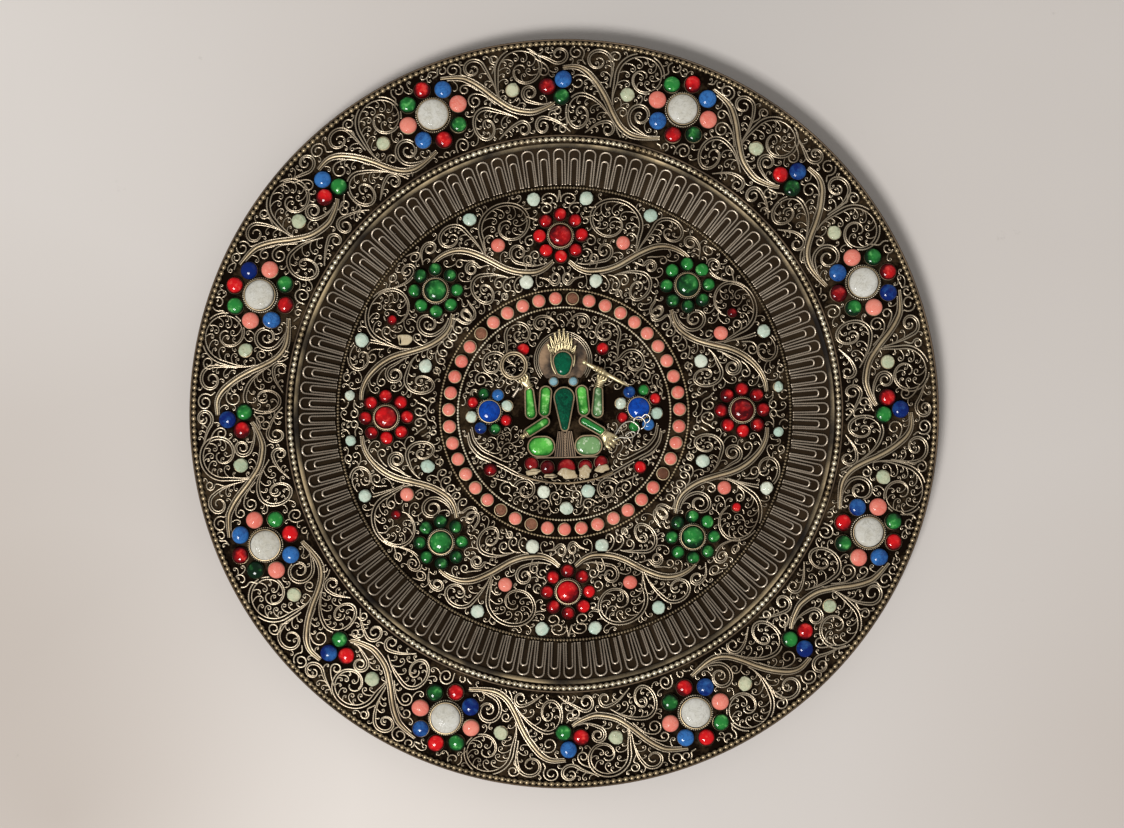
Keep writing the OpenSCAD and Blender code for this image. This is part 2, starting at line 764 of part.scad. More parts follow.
module figure_crown() {
    root = head[2] + stone_gap + cloison_t + crown_gap;
    color(pale_gold) translate([head[0][0], head[0][1], floor_z + halo_t + crown_root_r])
        for (k = [-2 : 2])
            rotate([-90, 0, k * crown_fan]) translate([0, 0, root])
                cylinder(r1 = crown_root_r, r2 = crown_tip_r, h = crown_len - abs(k) * crown_step, $fn = 24);
}

module figure_cloisons() {
    color(silver) {
        cloison(head, floor_z + halo_t, cloison_h);
        cloison(torso, floor_z, cloison_h);
        for (arm = [upper_arm, fore_arm, lower_arm, knee]) {
            cloison(arm, floor_z, cloison_h);
            cloison(mirror_shape(arm), floor_z, cloison_h);
        }
        for (side = [-1, 1]) translate([side * shoulder[0], shoulder[1], floor_z])
            bezel(shoulder_stone_r, bezel_wall, bezel_h);
        for (p = seat_places) translate([p[0], p[1], floor_z]) bezel(p[2], bezel_wall, bezel_h);
    }
}

module figure_head_stone() {
    color(deep_green) flat_stone(head, floor_z + halo_t, cloison_h + stone_up);
}

module figure_torso_stone() {
    color(deep_green) flat_stone(torso, floor_z, cloison_h + stone_up);
}

module figure_arm_stones() {
    color(green_stone) for (arm = [upper_arm, fore_arm, lower_arm]) {
        flat_stone(arm, floor_z, cloison_h + stone_up);
        flat_stone(mirror_shape(arm), floor_z, cloison_h + stone_up);
    }
}

module figure_knee_stones() {
    color(green_stone) {
        flat_stone(knee, floor_z, cloison_h + stone_up);
        flat_stone(mirror_shape(knee), floor_z, cloison_h + stone_up);
    }
}

module figure_shoulder_stones() {
    color(pale_stone) for (side = [-1, 1])
        translate([side * shoulder[0], shoulder[1], floor_z]) cabochon(shoulder_stone_r, shoulder_stone_h);
}

module figure_robe() {
    step = 2 * robe_top_w / (pleat_count + 1);
    color(pale_gold) translate([0, 0, floor_z]) {
        linear_extrude(robe_t) polygon([[-robe_top_w, robe_top_y], [robe_top_w, robe_top_y],
            [robe_bottom_w, robe_bottom_y], [-robe_bottom_w, robe_bottom_y]]);
        for (k = [1 : pleat_count])
            translate([-robe_top_w + k * step, robe_bottom_y, robe_t]) rotate([-90, 0, 0])
                cylinder(d = pleat_d * 0.86, h = robe_top_y - robe_bottom_y, $fn = 24);
    }
}

// a closed hand: a palm with knuckles along its end
module hand(shape) {
    way = (shape[1] - shape[0]) / norm(shape[1] - shape[0]);
    across = [-way[1], way[0]];
    translate([0, 0, floor_z]) linear_extrude(hand_h) {
        polygon(capsule(shape, 0));
        for (k = [-1 : 1])
            translate(shape[1] + way * shape[3] * 0.8 + across * k * shape[3] * 0.95) circle(r = finger_r, $fn = 24);
    }
}

module figure_hands() {
    color(pale_gold) {
        hand(raised_left_hand);
        hand(raised_right_hand);
        hand(low_right_hand);
        hand(low_left_hand);
    }
}

module figure_bead_ring() {
    color(pale_gold) translate([mala_at[0], mala_at[1], floor_z + hand_h + mala_d / 2]) {
        rotate_extrude() translate([mala_r, 0]) circle(d = mala_d, $fn = 24);
        rotate_extrude() translate([inner_mala_r, 0]) circle(d = mala_d, $fn = 24);
    }
}

module figure_rod() {
    color(pale_gold) translate([rod_at[0], rod_at[1], floor_z + hand_h + rod_d / 2])
        rotate([0, 90, rod_turn]) cylinder(d = rod_d, h = rod_len, $fn = 32);
}

// one wire that leaves the hand straight and bends into a loop, with two small loops laid over its far side
module figure_looped_wire() {
    hand_end = low_right_hand[1];
    far = norm(loop_at - hand_end);
    to_hand = atan2(hand_end[1] - loop_at[1], hand_end[0] - loop_at[0]);
    color(silver) translate([loop_at[0], loop_at[1], floor_z + hand_h + loop_d / 2]) {
        rotate([0, 0, to_hand + acos(loop_r / far)]) {
            translate([loop_r, 0, 0]) rotate([90, 0, 0])
                cylinder(d = loop_d, h = sqrt(far * far - loop_r * loop_r), $fn = 24);
            rotate_extrude(angle = loop_turn) translate([loop_r, 0]) circle(d = loop_d, $fn = 24);
        }
        for (side = [-1, 1])
            rotate([0, 0, to_hand + 180 + side * small_loop_turn])
                translate([loop_r + small_loop_r / 2, 0, loop_d + wire_gap])
                    rotate_extrude() translate([small_loop_r, 0]) circle(d = loop_d, $fn = 24);
    }
}

module seat_strip() {
    color(pale_gold) translate([0, seat_arc_y, floor_z])
        rotate([0, 0, -90 - seat_arc_turn / 2]) rotate_extrude(angle = seat_arc_turn, $fn = 160)
            translate([seat_arc_r - seat_strip_t / 2, 0]) square([seat_strip_t, seat_h]);
}

module seat_stones() {
    color(red_glass) for (p = seat_places) translate([p[0], p[1], floor_z]) cabochon(p[2], seat_stone_h);
}

module seat_petal_tips() {
    color(pale_gold) for (p = seat_places)
        translate([p[0], p[1], floor_z]) rotate([0, 0, -90 - seat_tip_turn / 2])
            rotate_extrude(angle = seat_tip_turn)
                translate([small_setting_r(p[2]) + wire_gap, 0]) square([seat_tip_t, seat_stone_h]);
}

base_dish();
rim_edge_band();
rim_outer_beaded_wire();
rim_inner_beaded_wire();
rim_inner_plain_wire();
wall_collar();
wall_outer_hairpins();
wall_inner_hairpins();
floor_edge_beaded_wire();
coral_ring_outer_wire();
coral_ring_inner_wire();
rim_stems();
rim_scrolls();
floor_stems();
floor_scrolls();
medallion_scrolls();
rim_rosette_bezels();
rim_small_bezels();
rim_white_stones();
rim_red_stones();
rim_blue_stones();
rim_coral_stones();
rim_green_stones();
rim_pale_stones();
floor_rosette_bezels();
floor_small_bezels();
floor_red_centres();
floor_red_petals();
floor_green_centres();
floor_green_petals();
floor_pale_stones();
floor_coral_stones();
floor_dot_stones();
coral_ring_bezels();
coral_ring_stones();
coral_ring_wax();
medallion_bezels();
medallion_blue_centres();
medallion_blue_stones();
medallion_green_stones();
medallion_red_stones();
medallion_pale_stones();
figure_halo();
figure_crown();
figure_cloisons();
figure_head_stone();
figure_torso_stone();
figure_arm_stones();
figure_knee_stones();
figure_shoulder_stones();
figure_robe();
figure_hands();
figure_bead_ring();
figure_rod();
figure_looped_wire();
seat_strip();
seat_stones();
seat_petal_tips();
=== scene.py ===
"""Dressed model of a round filigree plate set with stones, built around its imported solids."""

import logging
import math
import random
from dataclasses import dataclass, field, replace
from enum import Enum
from typing import Iterable, Iterator, Optional, Sequence, Union

import bmesh
import bpy
import numpy as np
from mathutils import Matrix, Vector


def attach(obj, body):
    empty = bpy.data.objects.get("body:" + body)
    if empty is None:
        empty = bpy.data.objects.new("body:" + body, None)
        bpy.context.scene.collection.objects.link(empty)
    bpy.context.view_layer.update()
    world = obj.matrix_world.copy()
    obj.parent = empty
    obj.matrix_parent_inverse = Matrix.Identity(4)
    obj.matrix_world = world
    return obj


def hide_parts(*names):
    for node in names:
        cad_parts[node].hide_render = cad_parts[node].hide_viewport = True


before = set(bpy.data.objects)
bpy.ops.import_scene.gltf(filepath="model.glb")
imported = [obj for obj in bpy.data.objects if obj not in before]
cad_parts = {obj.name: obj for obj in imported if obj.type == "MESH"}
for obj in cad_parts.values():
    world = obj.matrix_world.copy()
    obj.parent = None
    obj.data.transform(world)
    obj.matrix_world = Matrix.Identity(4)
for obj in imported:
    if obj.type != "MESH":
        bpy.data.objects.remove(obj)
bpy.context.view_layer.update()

LOG = logging.getLogger("plate")
MM = 0.001
BODY = "root"
Point = tuple[float, float]
Disc = tuple[float, float, float]
Line = np.ndarray
Shade = tuple[int, int, int]


def paint(shade: Shade) -> tuple[float, ...]:
    """Turns a colour written in steps from 0 to 255 into a linear one with full opacity."""
    shares = [step / 255 for step in shade]
    return (*(s / 12.92 if s <= 0.04045 else ((s + 0.055) / 1.055) ** 2.4 for s in shares), 1.0)


class Slot(Enum):
    """Material slots of the plate's finishes."""

    AGED_SILVER = "aged_silver"
    DARK_SHEET = "dark_sheet"
    PALE_GILT = "pale_gilt"
    RED_GLASS = "red_glass"
    CORAL = "coral"
    BLUE_STONE = "blue_stone"
    GREEN_GLASS = "green_glass"
    DEEP_GREEN = "deep_green_stone"
    PALE_STONE = "pale_stone"
    WHITE_SHELL = "white_shell"
    WAX = "wax"


# Shader graph


class Socket:
    """One output of a shader node; arithmetic on it adds Math nodes."""

    def __init__(self, graph: "Graph", output: bpy.types.NodeSocket) -> None:
        """Keeps the graph and the output that this value stands for."""
        self.graph = graph
        self.output = output

    def _math(self, operation: str, first: "Input", second: "Input") -> "Socket":
        """Adds one Math node."""
        return self.graph.node("ShaderNodeMath", {"operation": operation}, {0: first, 1: second})

    def __add__(self, other: "Input") -> "Socket":
        """Adds."""
        return self._math("ADD", self, other)

    def __radd__(self, other: "Input") -> "Socket":
        """Adds, with this value second."""
        return self._math("ADD", other, self)

    def __sub__(self, other: "Input") -> "Socket":
        """Takes away."""
        return self._math("SUBTRACT", self, other)

    def __rsub__(self, other: "Input") -> "Socket":
        """Takes this value away from another."""
        return self._math("SUBTRACT", other, self)

    def __mul__(self, other: "Input") -> "Socket":
        """Multiplies."""
        return self._math("MULTIPLY", self, other)

    def __rmul__(self, other: "Input") -> "Socket":
        """Multiplies, with this value second."""
        return self._math("MULTIPLY", other, self)

    def limited(self) -> "Socket":
        """Holds the value between 0 and 1."""
        return self.graph.node("ShaderNodeClamp", {}, {"Value": self})


Input = Union[Socket, float, Sequence[float]]


class Graph:
    """The node graph of one material."""

    def __init__(self, name: str) -> None:
        """Starts an empty material.

        Args:
            name: name of the material.
        """
        self.material = bpy.data.materials.new(name)
        self.material.use_nodes = True
        self.tree = self.material.node_tree
        self.tree.nodes.clear()

    def node(self, kind: str, settings: Optional[dict] = None, sockets: Optional[dict] = None,
             out: Union[int, str] = 0) -> Socket:
        """Adds any node.

        Args:
            kind: type name of the node.
            settings: properties of the node, set first.
            sockets: values or links of its inputs, by name or number.
            out: the output that is given back.

        Returns:
            The chosen output.
        """
        made = self.tree.nodes.new(kind)
        for name, value in (settings or {}).items():
            setattr(made, name, value)
        for name, value in (sockets or {}).items():
            if isinstance(value, Socket):
                self.tree.links.new(value.output, made.inputs[name])
            else:
                made.inputs[name].default_value = value
        return Socket(self, made.outputs[out])

    def place(self) -> Socket:
        """Gives the place on the object."""
        return self.node("ShaderNodeTexCoord", out="Object")

    def noise(self, scale: float, detail: float = 2.0, rough: float = 0.55) -> Socket:
        """Gives cloudy noise around one half."""
        wanted = {"Vector": self.place(), "Scale": scale, "Detail": detail, "Roughness": rough}
        return self.node("ShaderNodeTexNoise", {}, wanted)

    def cells(self, scale: float) -> Socket:
        """Gives the distance to the nearest middle of a cell pattern."""
        return self.node("ShaderNodeTexVoronoi", {}, {"Vector": self.place(), "Scale": scale}, "Distance")

    def mix(self, share: Input, first: Union[Socket, Shade], second: Union[Socket, Shade]) -> Socket:
        """Mixes two colours, each of them a socket or a shade."""
        low, high = [tone if isinstance(tone, Socket) else paint(tone) for tone in (first, second)]
        return self.node("ShaderNodeMix", {"data_type": "RGBA"}, {0: share, 6: low, 7: high}, 2)

    def up(self) -> Socket:
        """Gives how far the surface faces upwards, from -1 to 1."""
        normal = self.node("ShaderNodeNewGeometry", out="Normal")
        return self.node("ShaderNodeSeparateXYZ", {}, {0: normal}, "Z")

    def facing(self, way: Sequence[float]) -> Socket:
        """Gives how far the surface faces one way."""
        normal = self.node("ShaderNodeNewGeometry", out="Normal")
        return self.node("ShaderNodeVectorMath", {"operation": "DOT_PRODUCT"}, {0: normal, 1: way}, "Value")

    def bump(self, height: Input, strength: float, distance: float) -> Socket:
        """Gives a bumped normal."""
        wanted = {"Strength": strength, "Distance": distance, "Height": height}
        return self.node("ShaderNodeBump", {}, wanted)

    def surface(self, sockets: dict) -> bpy.types.Material:
        """Ends the graph with one surface shader.

        Args:
            sockets: values or links of the shader's inputs.

        Returns:
            The finished material.
        """
        shader = self.node("ShaderNodeBsdfPrincipled", {}, sockets)
        output = self.tree.nodes.new("ShaderNodeOutputMaterial")
        self.tree.links.new(shader.output, output.inputs["Surface"])
        return self.material


# Finishes


@dataclass(frozen=True)
class WornMetal:
    """Metal that is rubbed bright on top and darker down its sides, partly tarnished and partly painted
    shade.
    """

    name: str
    bright: Shade
    dull: Shade
    tarnish_and_painted_shade: Shade
    edge: float = 0.15
    rough: float = 0.36
    shine: float = 0.85
    grain: float = 55.0
    streak: float = 1.0
    steep: float = 1.0
    slot: Slot = Slot.AGED_SILVER

    def material(self) -> bpy.types.Material:
        """Builds the material.

        Returns:
            The finished material.
        """
        graph = Graph(self.name)
        patch = ((graph.noise(self.grain, 3.0) - 0.5) * self.streak + 0.5).limited()
        grit = graph.noise(1300.0, 2.0)
        # Painted shade: the colour turns from the rubbed metal to the dark colour as the surface turns away
        # from facing up; the dark stands for the tarnished sides and for the shade down them.
        wear_and_painted_shade = ((graph.up() - self.edge) * self.steep * (0.5 + patch * 1.5) + (grit - 0.5) * 0.5).limited()
        metal = graph.mix(patch, self.dull, self.bright)
        return graph.surface({
            "Base Color": graph.mix(wear_and_painted_shade, self.tarnish_and_painted_shade, metal),
            "Roughness": self.rough + 0.3 - wear_and_painted_shade * 0.3,
            "Metallic": self.shine * (0.55 + wear_and_painted_shade * 0.45),
            "Normal": graph.bump(grit, 0.25, 0.0002),
        })


@dataclass(frozen=True)
class OxideSheet:
    """Spun sheet, dark with oxide on its face and hammered and rubbed on its back."""

    name: str
    face: Shade
    face_pale: Shade
    slope: Shade
    back: Shade
    back_dark: Shade
    slot: Slot = Slot.DARK_SHEET

    def material(self) -> bpy.types.Material:
        """Builds the material.

        Returns:
            The finished material.
        """
        graph = Graph(self.name)
        patch = graph.noise(60.0, 4.0, 0.6)
        grit = graph.noise(900.0, 3.0)
        dents = graph.cells(120.0)
        under = (0.5 - graph.up() * 4.0).limited()
        sloped = ((0.97 - graph.up()) * 5.0).limited() * (1.0 - under) * (0.35 + patch)
        face = graph.mix(((patch - 0.52) * 3.2 + (grit - 0.5) * 0.8).limited(), self.face, self.face_pale)
        face = graph.mix(sloped.limited(), face, self.slope)
        back = graph.mix(((patch - 0.3) * 1.7 + (grit - 0.5) * 0.5).limited(), self.back_dark, self.back)
        return graph.surface({
            "Base Color": graph.mix(under, face, back),
            "Roughness": 0.82 - under * 0.36 + (grit - 0.5) * 0.2,
            "Metallic": under * 0.8,
            "Specular IOR Level": 0.05,
            "Normal": graph.bump(dents * under * 3.0 + grit * 0.25, 0.35, 0.0004),
        })


@dataclass(frozen=True)
class FoiledGlass:
    """Clear coloured glass over crumpled foil, with painted shade at its edges, a painted glow on one side
    and painted sparkle.
    """

    name: str
    # deep is the painted shade of the glass, middle its painted light and bright the colour of its painted
    # sparkle.
    deep: Shade
    middle: Shade
    bright: Shade
    spread: float = 1.0
    slot: Slot = Slot.GREEN_GLASS

    def material(self) -> bpy.types.Material:
        """Builds the material.

        Returns:
            The finished material.
        """
        graph = Graph(self.name)
        each = graph.noise(95.0, 1.0)
        foil = graph.noise(480.0, 2.0, 0.6)
        glint = graph.cells(1500.0)
        # Painted light and shade: besides the random tone of foil and stone, depth lightens the glass where
        # it faces up and where it faces +X and +Y, and darkens it towards its edges.
        painted_glow = graph.facing((0.45, 0.6, 0.0))
        depth = ((foil - 0.5) * 1.2 + (each - 0.5) * 3.4 + graph.up() * 3.0 - 2.2 + painted_glow * 0.6).limited()
        body = graph.mix(depth, self.deep, self.middle)
        # Painted sparkle: bright flecks of the foil stand for reflected light, strongest where the glass is
        # painted light.
        painted_sparkle = ((foil - 0.54) * 4.5 * self.spread + (0.4 - glint) * 0.25).limited() * depth * 0.8
        return graph.surface({
            "Base Color": graph.mix(painted_sparkle, body, self.bright),
            "Roughness": 0.1 + foil * 0.08,
            "Coat Weight": 0.5,
            "Coat Roughness": 0.04,
            "Specular IOR Level": 0.05,
            "Normal": graph.bump(foil, 0.12, 0.0003),
        })


@dataclass(frozen=True)
class PolishedStone:
    """Opaque stone with clouds, fine veins and a soft polish."""

    name: str
    ground: Shade
    cloud: Shade
    vein: Shade
    veins: float = 0.35
    rough: float = 0.34
    coat: float = 0.2
    drift: float = 1.0
    slot: Slot = Slot.PALE_STONE

    def material(self) -> bpy.types.Material:
        """Builds the material.

        Returns:
            The finished material.
        """
        graph = Graph(self.name)
        each = graph.noise(38.0, 1.0)
        cloud = graph.noise(420.0, 4.0, 0.6)
        line = graph.node("ShaderNodeTexNoise", {}, {"Vector": graph.place(), "Scale": 300.0, "Detail": 6.0,
                                                     "Distortion": 1.6})
        crack = (1.0 - ((line - 0.5) * (line - 0.5) * 900.0).limited()) * self.veins
        body = graph.mix(((cloud - 0.5) * 1.8 + (each - 0.5) * 2.2 * self.drift + 0.5).limited(),
                         self.ground, self.cloud)
        return graph.surface({
            "Base Color": graph.mix(crack, body, self.vein),
            "Roughness": self.rough + cloud * 0.18,
            "Coat Weight": self.coat,
            "Coat Roughness": 0.06,
            "Specular IOR Level": 0.05,
            "Normal": graph.bump(cloud + crack, 0.12, 0.0002),
        })


@dataclass(frozen=True)
class Coat:
    """A built finish and the material slot that it belongs to."""

    material: bpy.types.Material
    slot: Slot


@dataclass
class Palette:
    """Every finish of the plate, one coat each."""

    made: dict[str, Coat] = field(default_factory=dict)

    def add(self, finish: Union[WornMetal, OxideSheet, FoiledGlass, PolishedStone]) -> None:
        """Builds one finish and keeps it by name."""
        self.made[finish.name] = Coat(finish.material(), finish.slot)

    def __getitem__(self, name: str) -> Coat:
        """Gives a finish by name."""
        return self.made[name]

    @classmethod
    def of_the_plate(cls) -> "Palette":
        """Builds the plate's finishes.

        Returns:
            The filled palette.
        """
        own = cls()
        for finish in (
            WornMetal("filigree_silver", (214, 198, 172), (144, 126, 102), (26, 14, 6), 0.5, 0.3, 0.92,
                      streak=2.0, steep=2.0),
            WornMetal("wall_silver", (244, 228, 206), (202, 182, 158), (20, 11, 5), 0.2),
            WornMetal("bead_silver", (255, 246, 220), (186, 160, 116), (50, 34, 20), -0.05, streak=2.6),
            WornMetal("floor_bead_bronze", (160, 142, 112), (92, 76, 56), (24, 15, 8), 0.15),
            WornMetal("edge_beads", (206, 184, 146), (140, 120, 90), (30, 19, 10), 0.1),
            WornMetal("edge_bronze", (112, 92, 68), (70, 55, 40), (24, 15, 8), 0.2, 0.5, 0.6),
            WornMetal("bezel_silver", (236, 212, 170), (166, 140, 102), (24, 14, 7), 0.2, 0.42, 0.75),
            WornMetal("stem_silver", (226, 206, 170), (176, 152, 116), (40, 26, 15), 0.25, 0.4,
                      streak=1.6, slot=Slot.PALE_GILT),
            WornMetal("collar_brown", (216, 192, 150), (30, 20, 12), (20, 11, 5), 0.42, 0.55, 0.5, 40.0,
                      3.4),
            WornMetal("worn_gilt", (240, 224, 178), (208, 186, 140), (60, 42, 26), 0.1, 0.36,
                      slot=Slot.PALE_GILT),
            WornMetal("strip_bronze", (172, 150, 116), (96, 78, 58), (26, 16, 9), 0.25, 0.45, 0.7),
            WornMetal("robe_bronze", (206, 178, 146), (134, 108, 86), (30, 18, 10), 0.35, 0.5, 0.6,
                      slot=Slot.PALE_GILT),
            WornMetal("halo_brown", (158, 128, 98), (30, 20, 13), (20, 12, 7), 0.3, 0.5, 0.4, 110.0, 3.0,
                      slot=Slot.PALE_GILT),
            WornMetal("robe_dark", (70, 54, 40), (36, 26, 18), (16, 9, 5), 0.2, 0.6, 0.4,
                      slot=Slot.PALE_GILT),
            WornMetal("bright_wire", (232, 226, 212), (200, 188, 166), (84, 70, 54), -0.2, 0.3),
            OxideSheet("oxide_sheet", (17, 8, 2), (92, 74, 52), (54, 42, 29), (168, 150, 122),
                       (92, 76, 58)),
            FoiledGlass("red_glass", (70, 0, 6), (222, 20, 26), (255, 96, 82), slot=Slot.RED_GLASS),
            FoiledGlass("seat_red", (70, 2, 8), (158, 20, 26), (206, 84, 70), slot=Slot.RED_GLASS),
            FoiledGlass("green_glass", (4, 34, 16), (42, 136, 58), (128, 214, 120)),
            FoiledGlass("figure_green", (24, 104, 30), (104, 208, 84), (196, 246, 164), 1.5),
            FoiledGlass("misty_green", (56, 98, 56), (128, 170, 112), (212, 228, 194), 3.0),
            PolishedStone("deep_green", (0, 48, 34), (0, 92, 62), (6, 130, 88), 0.35, 0.06, 0.4,
                          slot=Slot.DEEP_GREEN),
            PolishedStone("blue_stone", (4, 34, 108), (54, 116, 186), (4, 20, 76), 0.4, 0.1, 0.5, 2.0,
                          slot=Slot.BLUE_STONE),
            PolishedStone("deep_blue", (0, 38, 122), (10, 84, 196), (0, 14, 70), 0.4, 0.06, 0.5,
                          slot=Slot.BLUE_STONE),
            PolishedStone("coral", (246, 146, 126), (232, 118, 102), (252, 190, 172), 0.3, 0.36,
                          slot=Slot.CORAL),
            PolishedStone("rim_pale", (216, 214, 180), (176, 192, 160), (150, 142, 108), 0.35, 0.45, 0.1,
                          1.5),
            PolishedStone("pale_stone", (232, 236, 216), (192, 216, 198), (160, 158, 132), 0.3, 0.42, 0.1,
                          1.5),
            PolishedStone("shoulder_stone", (150, 190, 198), (112, 164, 180), (214, 224, 222), 0.3, 0.35),
            PolishedStone("white_shell", (224, 222, 214), (200, 195, 180), (150, 146, 134), 0.35, 0.4,
                          0.1, 0.6, slot=Slot.WHITE_SHELL),
            PolishedStone("setting_wax", (146, 98, 74), (96, 62, 46), (190, 134, 108), 0.35, 0.5,
                          slot=Slot.WAX),
            PolishedStone("old_plaster", (214, 196, 160), (178, 156, 120), (240, 230, 206), 0.4, 0.6,
                          slot=Slot.WAX),
        ):
            own.add(finish)
        return own


# Mesh bench


class Bench:
    """A bmesh in millimetres that one piece is put together on."""

    def __init__(self) -> None:
        """Starts with nothing on the bench."""
        self.bm = bmesh.new()

    def turn(self, profile: Sequence[Point], steps: int, closed: bool = False) -> None:
        """Turns a profile of radius and height once around the upright axis of an empty bench.

        Args:
            profile: radius and height of each point.
            steps: number of steps around.
            closed: whether the last point joins the first.
        """
        verts = [self.bm.verts.new((r, 0.0, z)) for r, z in profile]
        pairs = list(zip(verts, verts[1:]))
        if closed:
            pairs.append((verts[-1], verts[0]))
        edges = [self.bm.edges.new(pair) for pair in pairs]
        bmesh.ops.spin(self.bm, geom=verts + edges, cent=(0, 0, 0), axis=(0, 0, 1), dvec=(0, 0, 0),
                       angle=2 * math.pi, steps=steps, use_merge=True, use_duplicate=False)
        poles = [v for v in self.bm.verts if math.hypot(v.co.x, v.co.y) < 1e-5]
        bmesh.ops.remove_doubles(self.bm, verts=poles, dist=1e-4)

    def pillow(self, outline: Sequence[Point], low: float, wall: float, crown: float, half: float) -> None:
        """Builds a flat stone with a rounded top.

        Args:
            outline: points around it, counter-clockwise.
            low: height of its foot.
            wall: height of its upright side.
            crown: how far the top rises above the side.
            half: half of its narrowest width.
        """
        top = self._prism(outline, low, wall)
        last = (0.0, 0.0)
        for share in (0.1, 0.26, 0.48, 0.74):
            now = (share * half, crown * math.sqrt(1 - (1 - share) ** 2))
            bmesh.ops.inset_individual(self.bm, faces=[top], thickness=now[0] - last[0],
                                       depth=now[1] - last[1])
            last = now

    def cup(self, outline: Sequence[Point], low: float, wall: float, sheet: float, floor: float) -> None:
        """Builds a strip of sheet that stands around an outline on a thin floor.

        Args:
            outline: points around its outside, counter-clockwise.
            low: height of its foot.
            wall: height of the strip.
            sheet: thickness of the strip.
            floor: thickness of the floor.
        """
        top = self._prism(outline, low, wall)
        bmesh.ops.inset_individual(self.bm, faces=[top], thickness=sheet, depth=0.0)
        sunk = bmesh.ops.extrude_face_region(self.bm, geom=[top])["geom"]
        bmesh.ops.delete(self.bm, geom=[top], context="FACES_ONLY")
        verts = [v for v in sunk if isinstance(v, bmesh.types.BMVert)]
        bmesh.ops.translate(self.bm, verts=verts, vec=(0, 0, floor - wall))

    def _prism(self, outline: Sequence[Point], low: float, tall: float) -> bmesh.types.BMFace:
        """Extrudes an outline upwards.

        Args:
            outline: points around it, counter-clockwise.
            low: height of its foot.
            tall: its height.

        Returns:
            The top face.
        """
        foot = self.bm.faces.new([self.bm.verts.new((x, y, low)) for x, y in outline])
        foot.normal_update()
        made = bmesh.ops.extrude_face_region(self.bm, geom=[foot], use_keep_orig=True)["geom"]
        verts = [v for v in made if isinstance(v, bmesh.types.BMVert)]
        bmesh.ops.translate(self.bm, verts=verts, vec=(0, 0, tall))
        top = [f for f in made if isinstance(f, bmesh.types.BMFace)][0]
        foot.normal_flip()
        return top

    def stamp(self, master: bpy.types.Mesh, place: Matrix, wobble: float = 0.0, seed: int = 0) -> None:
        """Adds a copy of a master shape.

        Args:
            master: the shape, in millimetres.
            place: where the copy goes.
            wobble: how far its points are pushed about.
            seed: seed of the pushes.
        """
        copy = master.copy()
        copy.transform(place)
        if wobble:
            spots = np.empty(len(copy.vertices) * 3, np.float32)
            copy.vertices.foreach_get("co", spots)
            spots += np.random.default_rng(seed).normal(0, wobble, spots.shape).astype(np.float32)
            copy.vertices.foreach_set("co", spots)
        self.bm.from_mesh(copy)
        bpy.data.meshes.remove(copy)

    def mesh(self, smooth: float) -> bpy.types.Mesh:
        """Clears the bench into a mesh.

        Args:
            smooth: edges that bend less than this many degrees are shaded smooth.

        Returns:
            The mesh, in millimetres.
        """
        bmesh.ops.recalc_face_normals(self.bm, faces=self.bm.faces)
        limit = math.radians(smooth)
        for face in self.bm.faces:
            face.smooth = True
        for edge in self.bm.edges:
            edge.smooth = not edge.is_manifold or edge.calc_face_angle(0.0) < limit
        mesh = bpy.data.meshes.new("piece")
        self.bm.to_mesh(mesh)
        self.bm.free()
        self.bm = bmesh.new()
        return mesh


class WireBundle:
    """Round wires in millimetres, collected in one curve and drawn as one mesh."""

    def __init__(self, sides: int = 6) -> None:
        """Starts an empty bundle.

        Args:
            sides: sides of a wire's section.
        """
        self.curve = bpy.data.curves.new("wires", "CURVE")
        self.curve.dimensions = "3D"
        self.curve.bevel_depth = 1.0
        self.curve.bevel_resolution = max(0, (sides - 4) // 2)
        self.curve.use_fill_caps = True
        self.curve.twist_mode = "Z_UP"

    def add(self, points: Line, radius: float, twist: float = 0.0, closed: bool = False,
            taper: Sequence[float] = (1.0, 1.0)) -> None:
        """Adds one wire.

        Args:
            points: its middle line, one row each.
            radius: its radius.
            twist: how far the radius swells and shrinks from point to point, as in twisted wire.
            closed: whether it is a ring.
            taper: share of the radius at even steps from end to end.
        """
        count = len(points)
        spline = self.curve.splines.new("POLY")
        spline.points.add(count - 1)
        spots = np.column_stack([points, np.ones(count)])
        spline.points.foreach_set("co", spots.astype(np.float32).ravel())
        radii = radius * np.interp(np.linspace(0, 1, count), np.linspace(0, 1, len(taper)), taper)
        radii[::2] *= 1 + twist
        radii[1::2] *= 1 - twist
        spline.points.foreach_set("radius", radii.astype(np.float32))
        spline.use_cyclic_u = closed
        spline.use_smooth = True

    def drawn(self) -> bpy.types.Mesh:
        """Draws the wires as a mesh and drops the curve.

        Returns:
            The mesh, in millimetres.
        """
        holder = bpy.data.objects.new("wires", self.curve)
        bpy.context.scene.collection.objects.link(holder)
        graph = bpy.context.evaluated_depsgraph_get()
        mesh = bpy.data.meshes.new_from_object(holder.evaluated_get(graph))
        bpy.data.objects.remove(holder)
        bpy.data.curves.remove(self.curve)
        return mesh

    def mesh(self, *others: "WireBundle") -> bpy.types.Mesh:
        """Turns the wires into one mesh.

        Args:
            others: more bundles that join the mesh.

        Returns:
            The mesh, in millimetres.
        """
        mesh = self.drawn()
        bm = bmesh.new()
        bm.from_mesh(mesh)
        for other in others:
            bm.from_mesh(other.drawn())
        bmesh.ops.recalc_face_normals(bm, faces=bm.faces)
        for face in bm.faces:
            face.smooth = len(face.verts) <= 4
        bm.to_mesh(mesh)
        bm.free()
        return mesh


